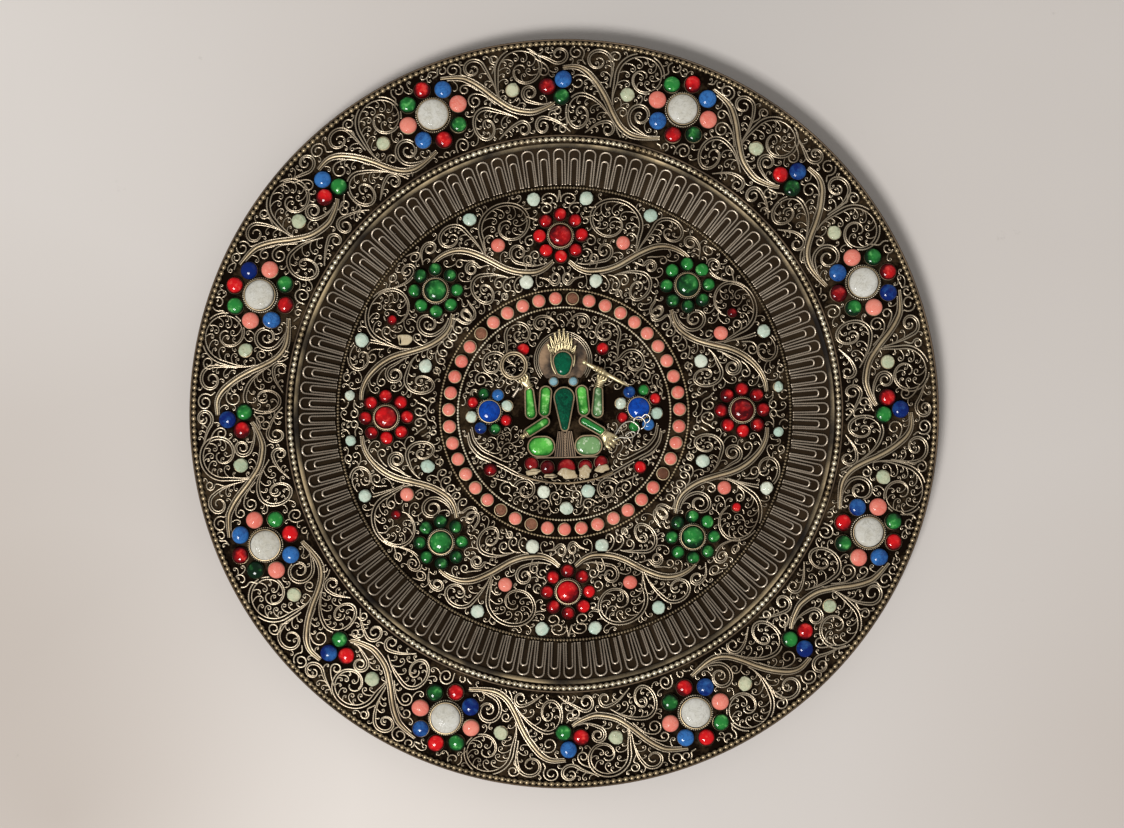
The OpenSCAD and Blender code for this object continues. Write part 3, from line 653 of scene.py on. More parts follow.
def publish(name: str, mesh: bpy.types.Mesh, coat: Coat, *nodes: str, slot: Optional[Slot] = None) -> None:
    """Makes a mesh a piece of the plate.

    Args:
        name: name of the piece.
        mesh: its mesh, in millimetres.
        coat: its finish.
        nodes: the solids that it stands for.
        slot: a material slot, if it isn't that of the finish; it is not used.
    """
    slot = slot or coat.slot
    mesh.transform(Matrix.Scale(MM, 4))
    mesh.name = name
    mesh.materials.clear()
    mesh.materials.append(coat.material)
    piece = bpy.data.objects.new(name, mesh)
    bpy.context.scene.collection.objects.link(piece)
    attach(piece, BODY)
    if nodes:
        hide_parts(*nodes)
    LOG.info("%s: %d faces for %s", name, len(mesh.polygons), ", ".join(nodes) or "the looks alone")


# Lines and places


def evenly(points: Line, step: float) -> Line:
    """Spaces points evenly along a line.

    Args:
        points: the line, one row each.
        step: distance between the new points.

    Returns:
        The new points.
    """
    run = np.r_[0.0, np.cumsum(np.linalg.norm(np.diff(points, axis=0), axis=1))]
    at = np.linspace(0.0, run[-1], max(3, int(round(run[-1] / step)) + 1))
    return np.column_stack([np.interp(at, run, column) for column in points.T])


def through(points: Sequence[Sequence[float]], fine: int = 10) -> Line:
    """Draws a smooth line through a few points.

    Args:
        points: the points that it passes.
        fine: new points for each stretch.

    Returns:
        The points of the smooth line.
    """
    given = np.array(points, float)
    ends = np.vstack([2 * given[:1] - given[1:2], given, 2 * given[-1:] - given[-2:-1]])
    share = np.linspace(0.0, 1.0, fine, endpoint=False)[:, None]
    rows = []
    for a, b, c, d in zip(ends, ends[1:], ends[2:], ends[3:]):
        rows.append(0.5 * (2 * b + (c - a) * share + (2 * a - 5 * b + 4 * c - d) * share ** 2
                           + (3 * b - a - 3 * c + d) * share ** 3))
    return np.vstack(rows + [given[-1:]])


def hoop(middle: Point, radius: float, level: float, count: int, tall: float = 1.0) -> Line:
    """Draws a level ring of so many points, stretched along +Y by tall."""
    turns = np.linspace(0, 2 * math.pi, count, endpoint=False)
    return np.column_stack([middle[0] + radius * np.cos(turns), middle[1] + radius * tall * np.sin(turns),
                            np.full(count, level)])


def level_line(line: Line, level: float) -> Line:
    """Lifts a flat line to one height."""
    return np.column_stack([line, np.full(len(line), level)])


def on_clock(turn: float, radius: float, across: float = 0.0, out: float = 0.0) -> Point:
    """Gives the place at a clockwise turn from the head side, shifted clockwise across and outward."""
    sine, cosine, far = math.sin(math.radians(turn)), math.cos(math.radians(turn)), radius + out
    return (far * sine + across * cosine, far * cosine - across * sine)


def ring_places(middle: Point, ring: float, first: float, step: float, count: int) -> list[Point]:
    """Gives places on a ring around a middle; first and step are degrees counter-clockwise from +X."""
    turns = [math.radians(first + step * k) for k in range(count)]
    return [(middle[0] + ring * math.cos(t), middle[1] + ring * math.sin(t)) for t in turns]


# Scroll wire, in millimetres

DRAWN_STEP = 0.3
CURL_STEP = 0.2
CURL_LENGTH = 9.0


class Gauge(Enum):
    """Sizes of scroll wire: radius, and height of its middle above the sheet."""

    MAIN = (0.41, 0.62)
    TWIN = (0.35, 0.5)
    CURL = (0.35, 0.42)
    SIDE = (0.38, 0.55)

    @property
    def radius(self) -> float:
        """Radius of the wire."""
        return self.value[0]

    @property
    def lift(self) -> float:
        """Height of its middle above the sheet."""
        return self.value[1]


@dataclass(frozen=True)
class Curls:
    """Curls on a spiral: how many, how long, and the share of the wire where they begin and end."""

    count: int = 0
    length: float = 6.0
    first: float = 0.05
    last: float = 0.6


@dataclass(frozen=True)
class Volute:
    """One wire spiral with its tail, an inner twin wire and the curls that branch from it.

    Places are millimetres along and out on the band that the spiral lies on.
    """

    along: float
    out: float
    size: float
    start: float
    turns: float
    hand: int
    root: Optional[Point] = None
    heading: Optional[float] = None
    twin: float = 0.0
    curls: Curls = Curls()
    wide: float = 1.0
    eye: float = 0.8
    lean: float = 38.0

    def loosened(self, chance: random.Random) -> "Volute":
        """Gives a copy that is a little off, as each one bent by hand is."""
        return replace(self, along=self.along + chance.gauss(0, 0.22), out=self.out + chance.gauss(0, 0.22),
                       size=self.size * chance.uniform(0.95, 1.04), start=self.start + chance.gauss(0, 5))

    def spiral(self, inset: float) -> Line:
        """Draws the spiral, set in from its outer line.

        Args:
            inset: how far it is set in at its start.

        Returns:
            The points of the spiral.
        """
        share = np.linspace(0.0, 1.0, max(14, int(self.turns * 3.2 * (self.size + self.eye) / DRAWN_STEP)))
        radius = self.size + (self.eye - self.size) * share - inset * np.clip((1 - share) * 1.2, 0, 1)
        angle = np.radians(self.start + self.hand * 360 * self.turns * share)
        return np.column_stack([self.along + radius * np.cos(angle) * self.wide,
                                self.out + radius * np.sin(angle)])

    def line(self, inset: float = 0.0) -> Line:
        """Draws the tail and the spiral.

        Args:
            inset: how far the line is set in from the outer wire.

        Returns:
            The points of the line.
        """
        spiral = self.spiral(inset)
        if self.root is None:
            return spiral
        root = np.array(self.root)
        way = (spiral[1] - spiral[0]) / np.linalg.norm(spiral[1] - spiral[0])
        far = np.linalg.norm(spiral[0] - root)
        late = spiral[0] - way * far * 0.42
        early = root + (late - root) * 0.5
        if self.heading is not None:
            turn = math.radians(self.heading)
            early = root + np.array([math.cos(turn), math.sin(turn)]) * far * 0.36
        share = np.linspace(0.0, 1.0, max(6, int(far / DRAWN_STEP)), endpoint=False)[:, None]
        tail = ((1 - share) ** 3 * root + 3 * (1 - share) ** 2 * share * early
                + 3 * (1 - share) * share ** 2 * late + share ** 3 * spiral[0])
        return np.vstack([tail, spiral])

    def wires(self) -> Iterator[tuple[Gauge, Line]]:
        """Draws the spiral's outer wire and its twin.

        Yields:
            The gauge and the middle line of each wire.
        """
        yield Gauge.MAIN, self.line()
        if self.twin:
            inner = self.line(self.twin)
            yield Gauge.TWIN, inner[:int(len(inner) * 0.78)]

    def feet(self, chance: random.Random) -> Iterator[tuple[Line, float, float]]:
        """Finds where curls branch off.

        Args:
            chance: source of the small differences among curls.

        Yields:
            The foot, the heading in radians and the size of each curl.
        """
        inner = self.line(self.twin)
        run = np.r_[0.0, np.cumsum(np.linalg.norm(np.diff(inner, axis=0), axis=1))]
        count = int(self.curls.count * 2.0 + 0.5)
        for k in range(count):
            share = self.curls.first + (self.curls.last - self.curls.first) * k / max(1, count - 1)
            at = int(np.clip(np.searchsorted(run, share * run[-1]), 1, len(inner) - 2))
            way = inner[at + 1] - inner[at - 1]
            heading = math.atan2(way[1], way[0]) + self.hand * math.radians(self.lean + chance.gauss(0, 4))
            size = self.curls.length / 6.2 * (1 - 0.25 * share)
            yield inner[at], heading, size * (1.0 if k % 2 == 0 else 0.85)


def comma(foot: Line, heading: float, hand: int, size: float) -> Line:
    """Draws a curl that winds up steadily tighter towards its end.

    Args:
        foot: where it branches off.
        heading: direction in which it leaves, in radians.
        hand: 1 to wind counter-clockwise, -1 to wind clockwise.
        size: its length as a share of CURL_LENGTH.

    Returns:
        The points of the curl.
    """
    count = max(10, int(CURL_LENGTH * size / CURL_STEP))
    share = (np.arange(count) + 0.5) / count
    turns = heading + hand * 7.8 * (0.17 * share + 0.83 * share ** 2.9)
    steps = CURL_LENGTH * size / count * np.column_stack([np.cos(turns), np.sin(turns)])
    return foot + np.vstack([[0.0, 0.0], np.cumsum(steps, axis=0)])


@dataclass(frozen=True)
class Band:
    """A ring of the plate, on which places are millimetres clockwise and millimetres outward."""

    line_r: float
    turn: float = 0.0
    flip_x: int = 1
    flip_y: int = 1

    def lay(self, strip: Line) -> Line:
        """Bends a flat strip drawing round the plate.

        Args:
            strip: points along and out on the band.

        Returns:
            The points across and up the plate.
        """
        angle = math.radians(self.turn) + strip[:, 0] / self.line_r
        far = self.line_r + strip[:, 1]
        return np.column_stack([self.flip_x * far * np.sin(angle), self.flip_y * far * np.cos(angle)])


@dataclass(frozen=True)
class Flat:
    """The flat middle of the plate, on which places are millimetres across and up."""

    flip_x: int = 1

    def lay(self, strip: Line) -> Line:
        """Mirrors a drawing, or leaves it as it is."""
        return strip * np.array([self.flip_x, 1.0])


def around(places: Iterable[Point], radius: float) -> list[Disc]:
    """Gives a round place of one radius at each place."""
    return [(x, y, radius) for x, y in places]


class Clearance:
    """The two circles that scroll wires stay between, and the settings that they stop at."""

    def __init__(self, inner: float, outer: float, discs: Iterable[Disc]) -> None:
        """Keeps the limits and the round places.

        Args:
            inner: radius of the inner circle.
            outer: radius of the outer circle.
            discs: round places of the settings.
        """
        self.inner = inner
        self.outer = outer
        self.discs = np.array(list(discs), float).reshape(-1, 3)

    def runs(self, line: Line) -> Iterator[Line]:
        """Cuts a line where it would enter a setting or leave its band.

        Args:
            line: points of the line.

        Yields:
            The stretches that are left.
        """
        far = np.hypot(line[:, 0], line[:, 1])
        free = (far > self.inner) & (far < self.outer)
        gaps = np.linalg.norm(line[:, None] - self.discs[None, :, :2], axis=2)
        free &= (gaps > self.discs[None, :, 2]).all(axis=1)
        for stretch in np.split(np.arange(len(line)), np.flatnonzero(np.diff(free.astype(int))) + 1):
            if len(stretch) > 5 and free[stretch[0]]:
                yield line[stretch]


class GapMap:
    """A raster of the plate that knows where a new wire would run into another one or into a setting."""

    def __init__(self, clear: Clearance, cell: float = 0.285, margin: int = 2) -> None:
        """Marks everything outside the clearance as taken.

        Args:
            clear: the circles and settings that wires keep to.
            cell: size of one cell of the raster.
            margin: cells beside a wire that it takes up.
        """
        self.cell = cell
        self.half = int((clear.outer + 12.0) / cell)
        reach = margin * margin + 1
        spread = range(-margin, margin + 1)
        self.around = [(a, b) for a in spread for b in spread if a * a + b * b <= reach]
        side = np.arange(-self.half, self.half + 1) * cell
        x, y = np.meshgrid(side, side, indexing="ij")
        far = np.hypot(x, y)
        self.taken = (far < clear.inner) | (far > clear.outer)
        for mid_x, mid_y, radius in clear.discs:
            self.taken |= np.hypot(x - mid_x, y - mid_y) < radius

    def cells(self, line: Line) -> Line:
        """Gives the cells under a line."""
        return np.clip(np.rint(line / self.cell).astype(int) + self.half, 4, 2 * self.half - 4)

    def mark(self, line: Line) -> None:
        """Marks a line and its margin as taken."""
        at = self.cells(line)
        for a, b in self.around:
            self.taken[at[:, 0] + a, at[:, 1] + b] = True

    def free(self, line: Line) -> bool:
        """Says whether a line touches nothing that is taken."""
        at = self.cells(line)
        return not self.taken[at[:, 0], at[:, 1]].any()


@dataclass
class Filigree:
    """Lays drawings of scrolls on the sheet as twisted wire, then grows curls into what is left open."""

    name: str
    clear: Clearance
    gaps: GapMap
    level: float
    chance: random.Random
    step: float = 0.42
    twist: float = 0.22
    root: float = 1.7
    thin: float = 1.0
    bundle: WireBundle = field(init=False)
    fine: WireBundle = field(init=False)
    laid: list[Line] = field(default_factory=list)
    waiting: list[tuple[Volute, Union[Band, Flat]]] = field(default_factory=list)

    def __post_init__(self) -> None:
        """Starts the bundles of main wires and of curls."""
        self.bundle = WireBundle()
        self.fine = WireBundle(4)

    def mesh(self) -> bpy.types.Mesh:
        """Turns all wires into one mesh."""
        return self.bundle.mesh(self.fine)

    def scrolls(self, plan: Iterable[Volute], band: Union[Band, Flat]) -> None:
        """Lays the main wires of a plan of volutes.

        Args:
            plan: the volutes.
            band: where they are laid.
        """
        for volute in plan:
            own = volute.loosened(self.chance)
            for gauge, line in own.wires():
                self.wire(band.lay(line), gauge)
            self.waiting.append((own, band))

    def wire(self, line: Line, gauge: Gauge) -> None:
        """Lays one wire.

        Args:
            line: its middle line on the sheet.
            gauge: its size.
        """
        for run in self.clear.runs(evenly(line, self.step)):
            self.laid.append(run)
            self.gaps.mark(run)
            bundle = self.fine if gauge is Gauge.CURL else self.bundle
            bundle.add(level_line(run, self.level + gauge.lift), gauge.radius * self.thin, self.twist)

    def stem_sides(self, stem: Sequence[Point], band: Band) -> None:
        """Lays the thin wires on both sides of a heavy stem.

        Args:
            stem: points that the stem passes.
            band: where it is laid.
        """
        line = evenly(through(stem), 0.5)
        way = np.gradient(line, axis=0)
        normal = np.column_stack([-way[:, 1], way[:, 0]]) / np.linalg.norm(way, axis=1)[:, None]
        self.gaps.mark(band.lay(line))
        swell = np.interp(np.linspace(0, 1, len(line)), (0, 0.2, 0.75, 1), (0.55, 1, 1, 0.5))[:, None]
        for side in (-1.16, 1.16):
            self.wire(band.lay(line + normal * side * swell), Gauge.SIDE)

    def grow(self, curls: Iterable[Line]) -> None:
        """Lays the first of some curls that runs into nothing beyond its root.

        Args:
            curls: the curls, from the one that is liked best.
        """
        for curl in curls:
            if self.gaps.free(curl[int(self.root / CURL_STEP):]):
                self.wire(curl, Gauge.CURL)
                break

    def curls(self) -> None:
        """Grows the planned curls of the volutes, each as large as fits."""
        for volute, band in self.waiting:
            for foot, heading, size in volute.feet(self.chance):
                self.grow(band.lay(comma(foot, heading, volute.hand, size * share))
                          for share in (1.0, 0.86, 0.72, 0.6, 0.48))

    def sprout(self, size: float) -> None:
        """Grows curls of one size from every wire that has room beside it.

        Args:
            size: their size.
        """
        for line in list(self.laid):
            for at in range(2, len(line) - 2, 3):
                way = line[at + 1] - line[at - 1]
                heading = math.atan2(way[1], way[0])
                for side in (1, -1):
                    lean = side * math.radians(self.chance.uniform(28, 52))
                    self.grow([comma(line[at], heading + lean, side, size)])

    def spray(self, line: Line, side: int, count: int, size: float) -> None:
        """Grows a row of curls along one side of a line.

        Args:
            line: the line that they branch from.
            side: 1 for the left side, -1 for the right side.
            count: number of curls.
            size: size of the largest curl.
        """
        even = evenly(line, self.step)
        for k in range(count):
            at = min(max(int(len(even) * (0.04 + 0.92 * k / max(1, count - 1))), 1), len(even) - 2)
            way = even[at + 1] - even[at - 1]
            heading = math.atan2(way[1], way[0]) + side * math.radians(40 + self.chance.gauss(0, 5))
            self.grow(comma(even[at], heading, side, size * share) for share in (1.0, 0.85, 0.7, 0.55))


def grow_all(works: Sequence[Filigree],
             sizes: Sequence[float] = (1.35, 1.15, 1.0, 0.86, 0.74, 0.63, 0.54)) -> None:
    """Grows the planned curls of several stretches, then smaller and smaller ones into the gaps.

    Args:
        works: the stretches.
        sizes: sizes of the curls that fill the gaps, from large to small.
    """
    for work in works:
        work.curls()
    for size in sizes:
        for work in works:
            work.sprout(size)


# Scroll plans on flat strips: along, out, size, start, turns, hand, root, heading and twin of each spiral

AFTER_CLUSTER: tuple[Volute, ...] = (
    Volute(33.0, 7.5, 11.4, 180, 1.5, -1, (23.3, -5.6), 115, 1.3, Curls(10, 8.5, 0.14, 0.8), wide=0.96),
    Volute(9.3, -10.7, 8.9, 70, 1.45, 1, (25.2, -12.6), 140, 1.2, Curls(7, 8, 0.1, 0.7), wide=0.84),
    Volute(35.3, -7.8, 6.3, 258, 1.6, -1, (42.5, -14.4), 185, 1.1),
    Volute(15.3, 11.0, 5.4, 10, 1.35, 1, (20.9, 1.4), 95, 0.9, Curls(2, 6.0, 0.12, 0.3)),
    Volute(21.6, 13.8, 2.5, 250, 1.4, -1, (20.6, 7.8), 80),
    Volute(7.1, 13.8, 3.1, 320, 1.6, 1, (10.8, 9.4), 120),
    Volute(8.6, 2.1, 3.2, 70, 1.2, 1, (18.8, -4.3), 125, curls=Curls(4, 5.5, 0.06, 0.55)),
    Volute(22.8, -15.6, 3.7, 110, 1.15, -1, (10.2, -18.8), 20, 0.9, Curls(4, 4.5, 0.2, 0.7)),
    Volute(30.3, -16.4, 2, 215, 1.2, 1, (26.1, -13.5), 280, curls=Curls(1, 4, 0.3)),
    Volute(27.8, -7.5, 1.9, 100, 1.1, -1, (24.8, -7.5), 40),
    Volute(43.3, 14.6, 3, 215, 1.25, -1, (39.3, 9.4), 80, curls=Curls(2, 4, 0.3)),
    Volute(49.9, -16.7, 2, 200, 1.2, 1, (45.7, -16.1), 330),
    Volute(2.2, -16.5, 2, 60, 1.3, 1, (3.6, -10.0), 250),
    Volute(-2.2, -10.7, 2.2, 80, 1.2, 1, (3.0, -6.2), 190),
)
AFTER_ROSETTE: tuple[Volute, ...] = (
    Volute(38.4, 7.5, 10.6, 180, 1.4, -1, (28.7, -6.5), 115, 1.3, Curls(9, 8, 0.14, 0.8), wide=0.98),
    Volute(19.1, -11.8, 8.6, 70, 1.45, 1, (33.9, -11.0), 145, 1.2, Curls(7, 8, 0.1, 0.7), wide=0.84),
    Volute(40.4, -1.3, 3.9, 255, 1.5, -1, (48.4, -5.7), 200, 0.9),
    Volute(20.3, 12.4, 4.5, 15, 1.3, 1, (26.9, 0.1), 95, 0.9, Curls(3, 5.5, 0.12, 0.4)),
    Volute(28.1, 13.8, 1.9, 250, 1.3, -1, (26.6, 8.4), 75),
    Volute(13.4, 14.1, 3, 320, 1.4, 1, (17.4, 9.7), 130),
    Volute(17.5, -0.2, 3, 60, 1.5, 1, (25.6, -4.0), 130, curls=Curls(3, 4.5, 0.05, 0.4)),
    Volute(14.8, 4.9, 2, 60, 1.1, 1, (20.2, 3.3), 150),
    Volute(35.7, -15.6, 3.6, 110, 1.15, -1, (21.9, -18.6), 25, 0.9, Curls(4, 4.5, 0.2, 0.7)),
    Volute(44.4, -15.0, 4.2, 60, 1.35, 1, (58.0, -18.6), 140, 0.9, Curls(4, 5, 0.12)),
    Volute(6.8, -15.6, 3.2, 150, 1.4, -1, (3.4, -18.3), 70, curls=Curls(1, 4)),
    Volute(52.1, 13.6, 4.2, 225, 1.25, 1, (41.5, 15.4), 320, 0.9, Curls(4, 5, 0.3, 0.8)),
    Volute(46.4, 6.8, 2.2, 40, 1.2, -1, (43.2, 12.2), 320),
    Volute(51.2, -9.4, 1.8, 120, 1.2, -1, (46.7, -8.4), 330),
    Volute(9.4, 15.1, 2, 200, 1.3, -1, (5.1, 13.5), 30),
)
RED_TO_GREEN: tuple[Volute, ...] = (
    Volute(19.3, 7.4, 11.6, 0, 1.45, 1, (32.0, -1.9), 95, 1.2, Curls(10, 10, 0.14, 0.8)),
    Volute(39.9, 12.5, 6.3, 180, 1.3, -1, (32.4, -0.8), 90, 1, Curls(5, 6.5, 0.1, 0.7)),
    Volute(18.7, -4.4, 4.4, 290, 1.4, 1, (7.8, -10.8), 350, 0.9, Curls(4, 5, 0.2, 0.8)),
    Volute(40.3, -13.4, 7.4, 110, 1.5, -1, (26.6, -12.6), 35, 1.1, Curls(7, 7.5, 0.12, 0.75), wide=0.92),
    Volute(39.7, -2.5, 3.2, 190, 1.5, -1, (32.4, -5.0), 60, 0.8),
    Volute(42.9, 2.1, 1.8, 150, 1.1, -1, (36.9, -0.5), 50),
    Volute(3.7, 14.8, 3, 200, 1.35, -1, (0.1, 18.4), 270, curls=Curls(2, 4)),
    Volute(5.4, 11.1, 2.4, 90, 1.2, 1, (12.5, 12.8), 220, curls=Curls(2, 4)),
    Volute(9.3, 6.7, 1.4, 90, 1.2, 1, (12.5, 9.4), 200),
    Volute(12.5, -1.0, 2.3, 100, 1.1, -1, (10.1, 2.1), 20),
    Volute(11.6, -6.7, 2, 60, 1.1, 1, (13.8, -11.5), 80),
    Volute(15.1, -8.1, 1.8, 60, 1.1, 1, (16.8, -12.0), 80),
    Volute(3.3, -17.1, 3.3, 330, 1.35, -1, (11.6, -16.0), 200, 0.8, Curls(2, 4)),
    Volute(23.6, -17.7, 2.6, 60, 1.25, -1, (19.3, -14.0), 10),
    Volute(28.8, -16.3, 2.4, 60, 1.25, -1, (23.6, -13.2), 10),
    Volute(32.6, -13.2, 2.1, 60, 1.2, -1, (27.9, -11.8), 15),
    Volute(32.8, -18.5, 1.9, 180, 1.3, 1, (35.8, -19.9), 160),
    Volute(54.4, -15.4, 4.4, 170, 1.25, 1, (49.7, -11.5), 260, 0.8, Curls(4, 5)),
    Volute(47.8, 13.9, 2.9, 60, 1.35, 1, (53.6, 11.1), 130, 0.7, Curls(2, 4)),
    Volute(54.0, 15.9, 1.9, 200, 1.2, 1, (55.7, 18.4), 200),
    Volute(27.9, 4.3, 1.9, 60, 1.2, 1, (30.9, 0.9), 100),
)
GREEN_TO_RED: tuple[Volute, ...] = (
    Volute(16.3, 8.9, 11.4, 0, 1.1, 1, (26.2, -4.7), 60, 1.2, Curls(8, 8, 0.14, 0.8), eye=3.4),
    Volute(36.0, 13.1, 6.5, 180, 1.3, -1, (28.1, -1.3), 85, 1, Curls(5, 6.5, 0.1, 0.7)),
    Volute(12.9, -6.4, 5.6, 280, 1.65, 1, (5.4, -11.4), 345, 1),
    Volute(21.2, -5.2, 2, 0, 1.2, 1, (22.7, -9.2), 80),
    Volute(39.4, -13.1, 7.5, 105, 1.45, -1, (27.6, -8.3), 30, 1.1, Curls(7, 7.5, 0.12, 0.75), wide=0.9),
    Volute(39.0, -1.6, 4.1, 150, 1.7, -1, (30.0, -5.2), 55, 0.9),
    Volute(42.6, 3.2, 2, 120, 1.1, -1, (37.3, 2.7), 40),
    Volute(34.5, 8.6, 2.2, 120, 1.2, -1, (30.4, 5.5), 60),
    Volute(43.5, 17.2, 1.6, 180, 1.2, -1, (40.7, 17.9), 290),
    Volute(-1.2, -16.0, 4.2, 10, 1.25, -1, (4.3, -12.0), 280, 0.8, Curls(3, 5)),
    Volute(6.5, -17.4, 2.3, 70, 1.2, -1, (2.6, -14.3), 10),
    Volute(11.2, -17.4, 2.3, 70, 1.2, -1, (7.1, -14.5), 10),
    Volute(15.9, -17.4, 2.3, 70, 1.2, -1, (11.8, -14.8), 10),
    Volute(20.8, -17.4, 2.3, 70, 1.2, -1, (16.7, -14.8), 10),
    Volute(25.7, -17.9, 2, 70, 1.2, -1, (21.9, -14.8), 10),
    Volute(31.7, -17.8, 2, 180, 1.2, 1, (34.3, -19.3), 170),
    Volute(2.0, 13.9, 3.3, 270, 1.3, -1, (14.2, 17.4), 200, 0.8, Curls(3, 4.5, 0.4, 0.8)),
    Volute(7.1, 16.8, 1.7, 180, 1.2, 1, (10.5, 15.3), 160),
    Volute(51.8, 17.6, 2.7, 170, 1.25, 1, (49.0, 19.6), 280),
    Volute(53.8, -13.7, 3.4, 190, 1.2, 1, (48.4, -10.9), 280, curls=Curls(3, 4.5)),
    Volute(55.3, 12.8, 1.7, 200, 1.2, 1, (50.1, 13.4), 300),
    Volute(48.2, -18.3, 1.4, 90, 1.2, 1, (47.1, -13.7), 260),
    Volute(23.6, 6.9, 1.8, 60, 1.2, 1, (26.8, 3.8), 110),
)
BESIDE_FIGURE: tuple[Volute, ...] = (
    Volute(17.8, 32.6, 6.6, -25, 1.4, 1, (22.0, 22.4), 70, 1.0, Curls(6, 6, 0.15, 0.75)),
    Volute(28.3, 20.6, 6.2, 150, 1.35, -1, (19.2, 19.4), 55, 1.0, Curls(6, 6, 0.15, 0.75)),
    Volute(8.6, 37.0, 3.4, 90, 1.3, -1, (1.6, 35.6), 60, 0.8, Curls(3, 4)),
    Volute(12.2, 31.6, 2.0, 200, 1.2, -1, (8.4, 33.4), 330),
    Volute(33.6, 14.8, 2.6, 60, 1.3, -1, (28.6, 14.0), 60),
    Volute(22.6, 14.6, 2.4, 60, 1.2, 1, (26.4, 13.4), 120, curls=Curls(2, 3.5)),
    Volute(36.4, 9.4, 1.6, 100, 1.2, 1, (38.4, 5.6), 100),
    Volute(16.6, -31.2, 5.2, 30, 1.4, 1, (23.4, -27.4), 120, 1.0, Curls(5, 5, 0.15, 0.75)),
    Volute(24.2, -30.4, 2.8, 120, 1.3, -1, (29.6, -25.4), 200, curls=Curls(2, 4)),
    Volute(8.6, -37.2, 2.4, 60, 1.3, 1, (13.2, -36.6), 160, curls=Curls(2, 3.5)),
    Volute(4.2, -33.4, 2.0, 0, 1.2, 1, (5.8, -37.2), 90),
    Volute(32.6, -20.6, 2.0, 200, 1.2, 1, (36.4, -16.2), 230),
)
CLUSTER_STEM: tuple[Point, ...] = (
    (2.2, 8.1), (7.3, 8.4), (11.0, 6.8), (14.2, 3.8), (17.4, 0.1), (20.6, -4.3), (23.8, -9.1),
    (27.6, -13.2), (31.8, -15.4), (36.1, -15.9), (41.4, -15.1), (46.2, -13.8))
ROSETTE_STEM: tuple[Point, ...] = (
    (7.7, 12.2), (14.8, 10.0), (18.2, 7.5), (21.6, 3.8), (26.2, -1.8), (31.9, -6.8), (39.3, -9.1),
    (44.4, -8.4), (48.4, -6.8), (50.5, -5.4))
RED_STEM: tuple[Point, ...] = (
    (3.7, -10.3), (7.8, -12.7), (12.1, -13.7), (15.9, -13.4), (20.2, -12.2), (23.6, -10.6), (27.0, -8.1),
    (30.0, -4.7), (33.5, -0.2), (37.3, 4.3), (40.7, 7.0), (44.2, 8.4), (48.0, 8.9), (51.9, 8.5))
GREEN_STEM: tuple[Point, ...] = (
    (2.6, -11.7), (6.9, -13.7), (11.2, -14.4), (15.5, -13.7), (20.2, -11.7), (24.0, -8.9), (27.9, -4.7),
    (30.9, -0.7), (33.9, 2.7), (37.7, 6.0), (42.4, 8.9), (46.7, 10.3), (50.5, 10.4))


# Stones and settings


@dataclass(frozen=True)
class Cabochon:
    """A round stone with a flat foot, an upright girdle and a domed top that may overhang its setting."""

    radius: float
    height: float
    girdle: float = 0.46
    sides: int = 22
    rings: int = 6
    over: float = 0.0

    def profile(self) -> list[Point]:
        """Draws half of the stone's section.

        Returns:
            Radius and height of each point, from the top to the foot.
        """
        low = self.height * self.girdle
        arcs = [math.radians(90 * k / self.rings) for k in range(self.rings + 1)]
        wide = self.radius + self.over
        dome = [(wide * math.sin(a), low + (self.height - low) * math.cos(a)) for a in arcs]
        foot = [(self.radius - 0.15, low - 0.1)] if self.over else []
        return dome + foot + [(self.radius - 0.15 * bool(self.over), 0.1), (0.0, 0.1)]

    def master(self) -> bpy.types.Mesh:
        """Turns the master stone.

        Returns:
            The stone, in millimetres.
        """
        bench = Bench()
        bench.turn(self.profile(), self.sides)
        return bench.mesh(60.0)


@dataclass(frozen=True)
class Bezel:
    """A strip setting, rubbed over the edge of its stone."""

    radius: float
    height: float
    wall: float = 0.48
    sides: int = 26

    def profile(self) -> list[Point]:
        """Draws the strip's section.

        Returns:
            Radius and height of each point around it.
        """
        inner = self.radius - 0.12
        outer = self.radius + self.wall
        tip = self.height
        return [(inner + 0.1, 0.05), (inner + 0.05, tip - 0.12), (inner + 0.12, tip),
                (inner + 0.34, tip - 0.02), (outer - 0.08, tip - 0.34), (outer, min(0.6, tip - 0.4)),
                (outer, 0.05)]

    def master(self) -> bpy.types.Mesh:
        """Turns the master setting.

        Returns:
            The setting, in millimetres.
        """
        bench = Bench()
        bench.turn(self.profile(), self.sides, closed=True)
        return bench.mesh(50.0)


